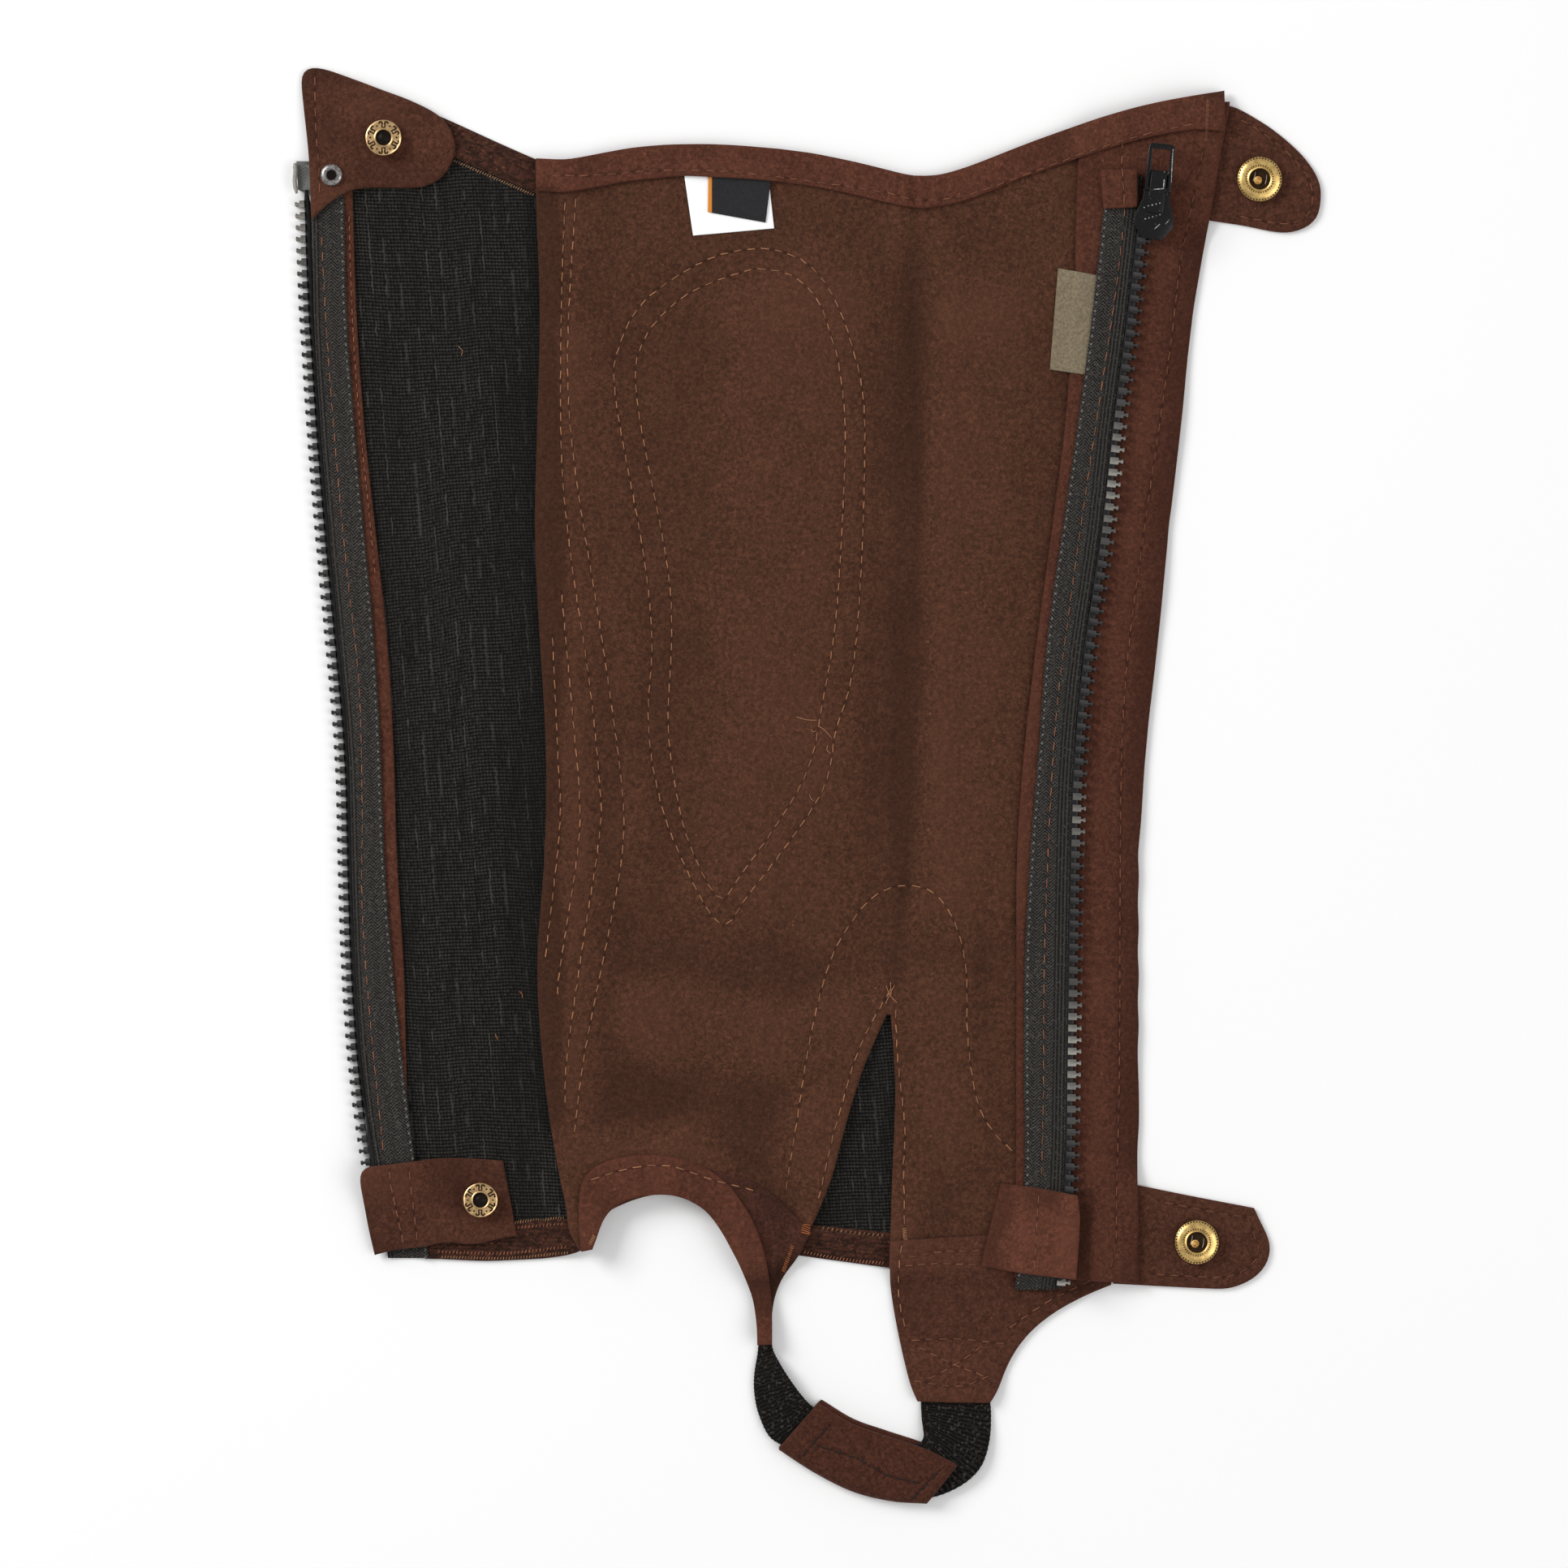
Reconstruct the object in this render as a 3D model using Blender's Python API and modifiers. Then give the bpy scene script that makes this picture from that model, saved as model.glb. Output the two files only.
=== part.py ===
"""A child's half chap, unzipped and laid open with its inner side up.

The garment lies on the floor at z = 0. X runs across the leg, Y runs from the foot to the knee.
Its pieces are laid one on another from the floor up, as a maker would stack them: each flat
piece is cut from its outline, drops onto whatever already lies there and stops just above it.
All tables and sizes are in millimetres, and each finished mesh is scaled to metres.
"""
import math
from collections import namedtuple

import bmesh
import bpy
import numpy as np
from mathutils import Matrix, Vector
from mathutils.bvhtree import BVHTree

MM = 0.001
COLLECTION_NAME = "half_chap"

# Thickness of each cloth and the clearance between pieces that touch
GAP = 0.32
SUEDE = 1.4
FLAP_SUEDE = 1.6
PATCH_SUEDE = 1.2
KNIT = 1.0
WOVEN_ELASTIC = 1.1
STRAP_THICKNESS = 1.3
ZIP_TAPE = 0.8
LABEL = 0.5

# Seam widths
ZIP_CHAIN_WIDTH = 3.6
ZIP_CHAIN_HEIGHT = 2.3
BINDING_WIDTH = 9.2
KNIT_UNDERLAP = 8.0
FACING_WIDTH = 8.6
TAB_BUTT = 7.0

# Lengthwise seams: x of each edge at even heights from the knee down to the foot
ROW_PITCH = 30.0
SeamRow = namedtuple("SeamRow", "y left_zip left_tape left_strip suede_left flap_left right_tape "
                                "right_zip flap_right")
SEAM_ROWS = (
    SeamRow(190, -143.6, -130.0, -127.3, -76.0, 75.2, 84.5, 98.5, 116.8),
    SeamRow(160, -141.5, -128.6, -126.3, -75.5, 74.1, 81.6, 95.3, 111.6),
    SeamRow(130, -141.0, -127.9, -125.3, -74.5, 73.2, 78.4, 91.9, 106.3),
    SeamRow(100, -139.2, -125.8, -123.2, -75.2, 71.0, 74.4, 87.9, 103.2),
    SeamRow(70, -136.8, -123.1, -120.0, -75.9, 67.2, 70.1, 84.7, 99.7),
    SeamRow(40, -134.0, -120.3, -116.8, -74.5, 63.1, 65.8, 80.2, 96.8),
    SeamRow(10, -131.4, -118.5, -115.0, -72.8, 59.6, 63.6, 77.3, 93.4),
    SeamRow(-20, -130.6, -117.5, -114.1, -73.2, 57.5, 61.1, 76.2, 91.7),
    SeamRow(-50, -129.6, -115.2, -112.2, -75.3, 57.5, 59.7, 75.7, 91.6),
    SeamRow(-80, -127.4, -112.1, -111.5, -73.4, 57.4, 59.5, 75.2, 91.5),
    SeamRow(-110, -123.2, -108.3, -110.6, -69.4, 57.3, 59.7, 74.6, 91.5),
    SeamRow(-140, -119.5, -104.0, -108.0, -66.0, 56.8, 57.0, 71.9, 91.3),
)

# Curved edges, each a smooth line through the points that its shape needs
KNEE_EDGE = [(-75.5, 173.5), (-67.5, 173.0), (-49, 176.5), (-28, 177.5), (1, 175), (31, 168.5),
             (42, 170.5), (64, 179), (90, 187.5), (115.1, 192.3)]
FOOT_ARCH = [(-58.5, -119.8), (-53.4, -116.9), (-42.5, -113.2), (-33, -114.7), (-26, -120.8), (-19.5, -132.5)]
LIP_OUTER = [(-68.8, -110), (-67.3, -116), (-66.5, -124), (-63.3, -129.1)]
LIP_INNER = [(-60.6, -127.6), (-59, -124.5), (-58.5, -119.8)]
NOTCH_LEFT = [(0.8, -122.8), (6.4, -109), (9.3, -97.4), (14.7, -79.4), (21.6, -63.6)]
NOTCH_RIGHT = [(22.6, -63.8), (24, -84), (23.2, -105), (22.2, -134)]
YOKE_LEFT = [(22.4, -126.3), (22.4, -138), (25, -153.5), (28.2, -167)]
YOKE_RIGHT = [(52.2, -168.5), (55.6, -159.5), (61.5, -151.4), (70, -145), (79, -140.5), (83.8, -138.6)]
BAND_INNER = [(-59.9, -128.6), (-58.3, -124.8), (-57.6, -120.4)]
BAND_ARCH = [(-57.6, -120.4), (-53.2, -116.1), (-48.2, -114.1), (-42.5, -113.3), (-37.5, -113.4),
             (-33, -114.9), (-28.2, -117.9), (-21.7, -127.8), (-16.7, -139.1), (-14.4, -149.2),
             (-14.3, -155.2)]
BAND_OUTER = [(-10.2, -155), (-10.3, -143.6), (-12.5, -128.5), (-17.2, -117.1), (-22.3, -110.4),
              (-29.6, -105.3), (-37.5, -102.9), (-47.8, -102.3), (-57.7, -104.6), (-62.4, -108),
              (-63.8, -117), (-63, -129.2)]
ROOT_TOP = [(-26.5, -106.8), (-18.3, -108.7), (-9.5, -113.8), (0.4, -123.8)]
ROOT_RIGHT = [(0.4, -123.8), (-2.6, -130.5), (-7.7, -136.8), (-9.9, -143), (-9.7, -154.6)]
ROOT_HIDDEN = [(-13.1, -154.6), (-13.4, -146), (-17, -134), (-23, -120)]

# Soft rolls and folds of the laid cloth: a ridge along a line, with its half width and height
Fold = namedtuple("Fold", "name x0 y0 x1 y1 half_width height")
FOLDS = (
    Fold("calf swell", -2, 125, -8, -20, 32, 4.6),
    Fold("shin swell", 50, 125, 46, -25, 21, 3.6),
    Fold("roll beside the stretch panel", -66, 120, -65, -85, 10, 2.6),
    Fold("ankle roll", -44, -66, -2, -72, 15, 2.8),
    Fold("roll left of the gusset", 9, -66, 0, -104, 11, 2.4),
    Fold("roll right of the gusset", 36, -62, 38, -100, 12, 2.0),
    Fold("foot arch lift", -52, -106, -34, -106, 15, 4.2),
    Fold("arch lift towards the strap", -30, -110, -18, -128, 11, 3.0),
    Fold("lip curl", -66, -104, -63, -124, 8, 2.6),
    Fold("stretch panel swell", -98, 110, -94, -70, 16, 1.6),
)
MERGING = 3

# Snap tabs: straight corners, and the rounded tip as a smooth line
TAB_TOP_LEFT = [(-136.2, 157.4), (-136.4, 173), (-140.7, 176), (-140.7, 195)]
TAB_TOP_LEFT_CORNER = [(-140.7, 195), (-140.1, 198.2), (-137, 199.1)]
TAB_TOP_LEFT_TIP = [(-137, 199.1), (-124.5, 195.6), (-108.6, 189.1), (-100.7, 184), (-97.3, 175.4),
                    (-99.6, 168.6), (-106, 164.9), (-118.7, 165.6), (-128.5, 164.3), (-136.2, 157.4)]
TAB_BOTTOM_LEFT = [(-124.4, -107.3), (-122.4, -105.5), (-110.1, -105.1), (-95.3, -103.5), (-84.7, -104.1),
                   (-83.2, -111.4), (-80.7, -124.9), (-92.4, -127.1), (-105, -128), (-120.3, -130.3)]
TAB_TOP_RIGHT_TIP = [(116.9, 188.6), (127.7, 182.3), (136.9, 174.4), (142.24, 165.6), (141.4, 157.2),
                     (133.3, 152.6), (121, 154.9), (110, 156.4)]
TAB_BOTTOM_RIGHT_TIP = [(127.7, -126), (127.4, -132.2), (122.7, -137.6), (116, -139.9)]
TAB_BOTTOM_RIGHT_CORNER = (123.2, -117.2)
TAB_BOTTOM_RIGHT_BUTT = (-109.8, -138.3)

# Patches over the zip ends, and the labels
TOP_PATCH = [(80.6, 170.2), (81.5, 159.3), (91.0, 159.7), (91.0, 170.2)]
BOTTOM_PATCH = [(53.1, -110.3), (63.8, -111.8), (73.9, -114.1), (75.3, -117), (74.8, -127), (73.9, -136.8),
                (62.7, -135.7), (47.5, -133.4), (50.2, -121.6)]
CARE_LABEL = [(-34.8, 170.5), (-32.1, 152.1), (-9.6, 154.1), (-11.4, 170)]
SIZE_LABEL = [(-27.8, 170.6), (-28, 158.6), (-12, 155.7), (-10.2, 170)]
SIDE_LABEL = [(69, 143.1), (66.7, 115), (78.3, 113.2), (82, 140.6)]

# Knit gusset, the knit's upper corners and the woven elastics along the knit edges
KNIT_TOP = [(-135.5, 192.2), (-62.5, 160.2)]
GUSSET = [(22, -56), (27, -72), (28.3, -100), (27.5, -126.8), (-1, -124.4), (3, -105), (7.2, -90), (12, -75)]
TOP_ELASTIC = [(-126.5, 195), (-113, 189.6), (-100.9, 184.7), (-86.7, 178.2), (-75.5, 173.2), (-67.5, 170.6),
               (-67.5, 160.6), (-75.7, 163.8), (-97.3, 173.3), (-113, 180.3), (-126.5, 186.2)]
BOTTOM_ELASTIC = [(-103.6, -121.5), (-81, -121), (-61.2, -119.7), (-61.2, -128.2), (-65, -130.1),
                  (-72.3, -131.3), (-89.4, -132.1), (-103.6, -131.4)]
GUSSET_ELASTIC = [(-1.2, -121.6), (27.5, -124.6), (27.5, -134.2), (21.9, -133.9), (-3.4, -130.4)]

# Strips along the zip between two seams, with sideways shifts, and their upper and lower ends
Strip = namedtuple("Strip", "name left left_shift right right_shift start end thickness")
CHAIN_AND_GAP = ZIP_CHAIN_WIDTH + GAP
ZIP_STRIPS = (
    Strip("zip_strip_left", "left_strip", -11.0, "left_strip", 0.0, 167, -112, PATCH_SUEDE),
    Strip("zip_tape_right", "right_tape", 0.0, "right_zip", -CHAIN_AND_GAP, 168.5, -139.9, ZIP_TAPE),
    Strip("zip_teeth_right", "right_zip", -ZIP_CHAIN_WIDTH, "right_zip", 0.0, 156.5, -138.6,
          ZIP_CHAIN_HEIGHT),
    Strip("zip_tape_left", "left_zip", CHAIN_AND_GAP, "left_tape", 0.0, 172.8, -131.2, ZIP_TAPE),
    Strip("zip_teeth_left", "left_zip", 0.0, "left_zip", ZIP_CHAIN_WIDTH, 172.2, -112, ZIP_CHAIN_HEIGHT),
)

# Under-foot strap: inner and outer edge with their heights, from the neck round to the yoke
StrapRow = namedtuple("StrapRow", "x_in y_in z_in x_out y_out z_out")
STRAP_MIDDLE = 2.2
STRAP_ROWS = (
    StrapRow(-10.8, -150.8, 0.7, -13.4, -150.8, 0.7),
    StrapRow(-10.4, -156.2, 1.4, -13.8, -156.9, 0.7),
    StrapRow(-8.2, -160.6, 3.6, -14.8, -163.1, 0.9),
    StrapRow(-5.4, -165.0, 4.4, -14.8, -168.4, 1.0),
    StrapRow(-2.2, -169.4, 3.6, -13.6, -174.2, 1.3),
    StrapRow(0.6, -172.4, 2.3, -10.6, -180.4, 2.0),
    StrapRow(4.4, -174.6, STRAP_MIDDLE, -5.6, -183.6, STRAP_MIDDLE),
    StrapRow(11.0, -177.3, STRAP_MIDDLE, 2.6, -189.0, STRAP_MIDDLE),
    StrapRow(20.4, -180.6, STRAP_MIDDLE, 13.2, -194.2, STRAP_MIDDLE),
    StrapRow(29.2, -182.9, STRAP_MIDDLE, 23.2, -196.8, STRAP_MIDDLE),
    StrapRow(31.2, -182.2, STRAP_MIDDLE, 32.4, -197.4, STRAP_MIDDLE),
    StrapRow(32.0, -180.6, STRAP_MIDDLE, 41.0, -194.4, STRAP_MIDDLE),
    StrapRow(31.9, -178.6, STRAP_MIDDLE, 46.9, -189.4, STRAP_MIDDLE),
    StrapRow(31.6, -175.8, 1.8, 49.5, -182.6, 1.8),
    StrapRow(31.4, -171.5, 1.0, 50.1, -174.5, 1.0),
    StrapRow(31.4, -166.0, 0.7, 49.4, -166.5, 0.7),
    StrapRow(31.4, -158.0, 0.7, 49.0, -158.0, 0.7),
)
SLEEVE_OPEN_EDGE = [(3.4, -170.8), (12, -176), (21.5, -179.4), (32.2, -183), (41.2, -187.7)]
SLEEVE_FOLD_EDGE = [(-8.4, -184.2), (1.5, -190.6), (12, -195.8), (22.5, -198.4), (32.3, -199.1)]
SLEEVE_WALL = 1.2
SLEEVE_LIFT = 0.03

# Snap hardware, zip slider and eyelet
SnapPlace = namedtuple("SnapPlace", "name x y radius")
STUD_BACKS = (SnapPlace("top", -117.7, 179.0, 5.05), SnapPlace("bottom", -90.9, -114.9, 4.85))
SOCKETS = (SnapPlace("top", 124.8, 167.7, 6.15), SnapPlace("bottom", 107.4, -126.7, 6.05))
EYELET = SnapPlace("eyelet", -132.1, 168.7, 3.1)
CAP_RADIUS = 6.0
STUD_RADIUS = 4.3
TURNING_STEPS = 18

# Turned profiles, top to bottom: share of the radius and height
CAP_PROFILE = [(0, 1.5), (0.6, 1.35), (0.9, 0.95), (1, 0.45), (0.98, 0), (0, 0)]
STUD_PROFILE = [(0, 3), (1, 3), (1, 2.3), (0.44, 2.1), (0.37, 1.4), (0.49, 0.7), (0.4, 0.1), (0, 0)]
STUD_BACK_PROFILE = [(0, 0.25), (0.4, 0.25), (0.43, 0.75), (0.52, 1.05), (0.68, 1), (0.88, 0.8), (1, 0.3),
                     (1, 0), (0, 0)]
SOCKET_PROFILE = [(0, 0.4), (0.44, 0.4), (0.47, 1.1), (0.55, 1.5), (0.68, 1.55), (0.85, 1.3), (0.97, 0.8),
                  (1, 0.3), (0.98, 0), (0, 0)]
EYELET_PROFILE = [(0, 0.2), (0.4, 0.2), (0.45, 0.6), (0.65, 0.85), (0.9, 0.6), (1, 0.2), (1, 0), (0, 0)]

# Zip slider in its own frame, its Y along the zip towards the knee
SLIDER_Y = 160.5
SLIDER_SHIFT = 2.3
SLIDER_WING = 1.0
SLIDER_CHANNEL_HEIGHT = 3.0
SLIDER_SLOT_HEIGHT = 1.55
SLIDER_FLANGE = 0.9
SLIDER_ROWS = (169.2, 165, 161, 157.5, 154, 151.2, 149.6, 145)
SLIDER_HALF = [(2.8, -9.4), (5.4, -5.8), (5.4, -3.4), (3.7, 1.6), (3.5, 9.6)]
SLIDER_CHANNEL_END = 3.2
SLIDER_SLOT_INNER = 0.6
CUT_PAST = 12.0
CROWN_WIDTH = 4.3
CROWN_HEIGHT = 3.1
CROWN_START, CROWN_END = -2.2, 9.0
CROWN_WINDOW = 1.9
CROWN_WINDOW_TOP = 2.35
PULL_HINGE_Y = 4.4
PULL_HINGE_LIFT = 1.25
PULL_WIDTH = 7.3
PULL_LENGTH = 12.6
PULL_THICKNESS = 1.2
PULL_SIDE = 1.15
PULL_TIP = 1.6
PULL_ROUNDING = 1.3


# Laying: cell sizes of the flat sheets and how they settle on the heap
CELL_WIDE = 8.0
CELL_LONG = 11.0
WHOLE_WIDTH = 60.0
SHARP_BEND = math.radians(40)
SETTLING_PASSES = 8
SETTLING_RATE = 0.6
SMALLEST_SHARE = 0.01
TOUCH = 0.04
SNAP = 0.05
SHORTEST_EDGE = 0.9
STRIP_PITCH = 14.0


def catmull_rom(before, start, end, after, share):
    """Point on the curved span from start to end, which its two outer neighbours shape."""
    square = share * share
    cube = square * share
    return tuple(0.5 * (2 * b + (c - a) * share + (2 * a - 5 * b + 4 * c - d) * square
                        + (3 * b - a - 3 * c + d) * cube)
                 for a, b, c, d in zip(before, start, end, after))


def smooth_line(points, step):
    """Points about one step apart on a smooth line through all the given points."""
    first = tuple(2 * a - b for a, b in zip(points[0], points[1]))
    last = tuple(2 * a - b for a, b in zip(points[-1], points[-2]))
    padded = [first, *points, last]
    line = []
    for index in range(1, len(padded) - 2):
        span = padded[index - 1:index + 3]
        count = max(1, round(math.dist(span[1], span[2]) / step))
        line += [catmull_rom(*span, part / count) for part in range(count)]
    return [*line, tuple(points[-1])]


def seam_x(name, y):
    """X of a lengthwise seam at height y, smooth between the rows and straight past them."""
    column = [getattr(row, name) for row in SEAM_ROWS]
    place = (SEAM_ROWS[0].y - y) / ROW_PITCH
    if place <= 0:
        return column[0] + (column[0] - column[1]) * -place
    if place >= len(column) - 1:
        return column[-1] + (column[-1] - column[-2]) * (place - len(column) + 1)
    row = int(place)
    before = column[row - 1] if row > 0 else 2 * column[0] - column[1]
    after = column[row + 2] if row + 2 < len(column) else 2 * column[-1] - column[-2]
    return catmull_rom((before,), (column[row],), (column[row + 1],), (after,), place - row)[0]


def seam_line(name, start, end, shift=0.0, step=10.0):
    """A lengthwise seam from height start to height end, moved sideways by shift."""
    count = max(1, round(abs(end - start) / step))
    heights = [start + (end - start) * part / count for part in range(count + 1)]
    return [(seam_x(name, y) + shift, y) for y in heights]


def strip_rows(start, end, bends=()):
    """Heights of a strip's cross lines from its upper to its lower end, closer at its bends."""
    count = max(1, round((start - end) / STRIP_PITCH))
    even = [start + (end - start) * part / count for part in range(count + 1)]
    apart = [y for y in even if all(abs(y - bend) > STRIP_PITCH / 2 for bend in bends)]
    ends = [y for y in (start, end) if y not in apart]
    inner = [bend for bend in bends if end + 1 < bend < start - 1]
    return sorted(apart + ends + inner, reverse=True)


def strip_outline(left, right, rows):
    """Outline of a strip between two seams, each a name and a sideways shift."""
    down = [(seam_x(left[0], y) + left[1], y) for y in rows]
    up = [(seam_x(right[0], y) + right[1], y) for y in reversed(rows)]
    return down + up


def moved(points, dx=0.0, dy=0.0):
    """The same points, moved sideways."""
    return [(x + dx, y + dy) for x, y in points]


def outline_of(*stretches):
    """One closed outline from stretches laid end to end, without doubled points."""
    outline = []
    for point in (point for stretch in stretches for point in stretch):
        if not outline or math.dist(outline[-1], point) > 0.4:
            outline.append(point)
    if math.dist(outline[0], outline[-1]) <= 0.4:
        outline.pop()
    return outline


def relief(x, y):
    """Height of the soft folds at each point of two arrays; folds that meet merge smoothly."""
    height = np.zeros_like(x)
    for fold in FOLDS:
        run = np.array([fold.x1 - fold.x0, fold.y1 - fold.y0])
        along = ((x - fold.x0) * run[0] + (y - fold.y0) * run[1]) / (run @ run)
        along = np.clip(along, 0, 1)
        away = np.hypot(x - fold.x0 - along * run[0], y - fold.y0 - along * run[1])
        ripple = 0.85 + 0.15 * np.cos(2.6 * math.pi * along)
        ridge = fold.height * ripple * 0.5 * (1 + np.cos(math.pi * np.clip(away / fold.half_width, 0, 1)))
        height += ridge ** MERGING
    return height ** (1 / MERGING)


class Heap:
    """Height of everything laid so far, on an even grid over the floor."""
    STEP = 0.9
    HALF_X = 148.0
    HALF_Y = 204.0

    def __init__(self):
        self.x = np.arange(-self.HALF_X, self.HALF_X + self.STEP, self.STEP)
        self.y = np.arange(-self.HALF_Y, self.HALF_Y + self.STEP, self.STEP)
        grid_x, grid_y = np.meshgrid(self.x, self.y, indexing="ij")
        self.top = relief(grid_x, grid_y) - GAP

    def cells(self, vertices):
        """Index pairs of the grid points inside the box around some vertices."""
        low = np.min(vertices, axis=0)
        high = np.max(vertices, axis=0)
        columns = np.nonzero((self.x >= low[0]) & (self.x <= high[0]))[0]
        rows = np.nonzero((self.y >= low[1]) & (self.y <= high[1]))[0]
        return [(column, row) for column in columns for row in rows]

    def reach(self):
        """The heap widened by one grid step, so that an edge between grid points counts."""
        wide = self.top.copy()
        for axis in (0, 1):
            for shift in (1, -1):
                wide = np.maximum(wide, np.roll(self.top, shift, axis))
        for shift_x in (1, -1):
            for shift_y in (1, -1):
                wide = np.maximum(wide, np.roll(self.top, (shift_x, shift_y), (0, 1)))
        return wide

    def level(self, place, radius):
        """Height at which a round piece of this radius lies on the heap."""
        grid_x, grid_y = np.meshgrid(self.x, self.y, indexing="ij")
        return self.top[np.hypot(grid_x - place.x, grid_y - place.y) <= radius + self.STEP].max() + GAP

    def lay(self, sheet, thickness, beside):
        """Drop a flat sheet onto the heap, make it a wall and add it to the heap.

        A sheet that lies close beside others heeds only what is right under it.
        """
        bmesh.ops.triangulate(sheet, faces=sheet.faces[:])
        sheet.verts.ensure_lookup_table()
        sheet.faces.ensure_lookup_table()
        flat = np.array([vertex.co[:2] for vertex in sheet.verts])
        triangles = np.array([[vertex.index for vertex in face.verts] for face in sheet.faces])
        tree = BVHTree.FromBMesh(sheet)
        hits = [(cell, tree.ray_cast(Vector((self.x[cell[0]], self.y[cell[1]], 1.0)), Vector((0, 0, -1)))[2])
                for cell in self.cells(flat)]
        hits = [(cell, face) for cell, face in hits if face is not None]
        cells = np.array([cell for cell, face in hits])
        corners = triangles[np.array([face for cell, face in hits])]
        shares = barycentric(flat[corners], np.stack([self.x[cells[:, 0]], self.y[cells[:, 1]]], axis=1))
        top = self.top if beside else self.reach()
        below = top[cells[:, 0], cells[:, 1]] + GAP
        lowest = relief(flat[:, 0], flat[:, 1])
        if not beside:
            column, row = np.rint((flat - [self.x[0], self.y[0]]) / self.STEP).astype(int).T
            lowest = np.maximum(lowest, top[column, row] + GAP)
        height = settled(lowest, corners, shares, below)
        for vertex, z in zip(sheet.verts, height):
            vertex.co.z = z
        laid = (height[corners] * shares).sum(axis=1) + thickness
        np.maximum.at(self.top, (cells[:, 0], cells[:, 1]), laid)
        walls = bmesh.ops.extrude_face_region(sheet, geom=sheet.faces[:], use_keep_orig=True)
        raised = [item for item in walls["geom"] if isinstance(item, bmesh.types.BMVert)]
        bmesh.ops.translate(sheet, verts=raised, vec=(0, 0, thickness))
        bmesh.ops.recalc_face_normals(sheet, faces=sheet.faces[:])

    def add(self, piece):
        """Add a finished object to the heap."""
        view = bpy.context.evaluated_depsgraph_get()
        view.update()
        solid = bmesh.new()
        solid.from_object(piece, view)
        solid.transform(Matrix.Scale(1 / MM, 4) @ piece.matrix_world)
        tree = BVHTree.FromBMesh(solid)
        places = np.array([vertex.co[:2] for vertex in solid.verts])
        for column, row in self.cells(places):
            hit = tree.ray_cast(Vector((self.x[column], self.y[row], 60.0)), Vector((0, 0, -1)))[0]
            if hit is not None:
                self.top[column, row] = max(self.top[column, row], hit.z)
        solid.free()


def barycentric(corners, points):
    """Share of each corner of a triangle in a point inside it, for many triangles at once."""
    first = corners[:, 1] - corners[:, 0]
    second = corners[:, 2] - corners[:, 0]
    offset = points - corners[:, 0]
    area = first[:, 0] * second[:, 1] - first[:, 1] * second[:, 0]
    share_one = (offset[:, 0] * second[:, 1] - offset[:, 1] * second[:, 0]) / area
    share_two = (first[:, 0] * offset[:, 1] - first[:, 1] * offset[:, 0]) / area
    shares = np.clip(np.stack([1 - share_one - share_two, share_one, share_two], axis=1), 0, 1)
    return shares / shares.sum(axis=1)[:, None]


def settled(lowest, corners, shares, below):
    """Heights of a sheet's corners: high enough to clear the heap, then lowered until they rest."""
    height = lowest.copy()
    for corner in corners.T:
        np.maximum.at(height, corner, below)
    touched = [[] for _ in height]
    for point, corner in np.argwhere(shares > SMALLEST_SHARE):
        touched[corners[point, corner]].append((point, shares[point, corner]))
    touched = [np.array(points).T for points in touched]
    for _ in range(SETTLING_PASSES):
        for index, points in enumerate(touched):
            room = height[index] - lowest[index]
            if len(points):
                near = points[0].astype(int)
                over = (height[corners[near]] * shares[near]).sum(axis=1) - below[near]
                room = min(room, ((over + TOUCH) / points[1]).min())
            height[index] -= SETTLING_RATE * max(room, 0.0)
    return height


def material(name, colour, roughness, metallic=0.0):
    """A Principled material in the given finish."""
    finish = bpy.data.materials.new(name)
    finish.use_nodes = True
    shader = finish.node_tree.nodes["Principled BSDF"]
    shader.inputs["Base Color"].default_value = (*colour, 1.0)
    shader.inputs["Roughness"].default_value = roughness
    shader.inputs["Metallic"].default_value = metallic
    finish.diffuse_color = (*colour, 1.0)
    return finish


def suede_finish(name):
    return material(name, (0.075, 0.028, 0.018), 0.95)


def binding_finish(name):
    return material(name, (0.10, 0.036, 0.023), 0.9)


def knit_finish(name):
    return material(name, (0.015, 0.015, 0.013), 0.9)


def elastic_finish(name):
    return material(name, (0.085, 0.035, 0.028), 0.85)


def zip_finish(name):
    return material(name, (0.018, 0.018, 0.018), 0.6)


def lacquer_finish(name):
    return material(name, (0.012, 0.012, 0.012), 0.3, 0.5)


def brass_finish(name):
    return material(name, (0.72, 0.50, 0.22), 0.3, 1.0)


def gunmetal_finish(name):
    return material(name, (0.35, 0.35, 0.36), 0.35, 1.0)


def label_finish(name):
    return material(name, (0.45, 0.43, 0.38), 0.8)


def new_piece(name, mesh, finish, collection):
    """A named object in the half chap's collection, with its own material."""
    mesh.materials.clear()
    mesh.materials.append(finish(name + "_finish"))
    piece = bpy.data.objects.new(name, mesh)
    collection.objects.link(piece)
    return piece


def mesh_from(shape, name):
    """A mesh in metres from a shape worked out in millimetres."""
    shape.transform(Matrix.Scale(MM, 4))
    mesh = bpy.data.meshes.new(name)
    shape.to_mesh(mesh)
    shape.free()
    return mesh


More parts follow.
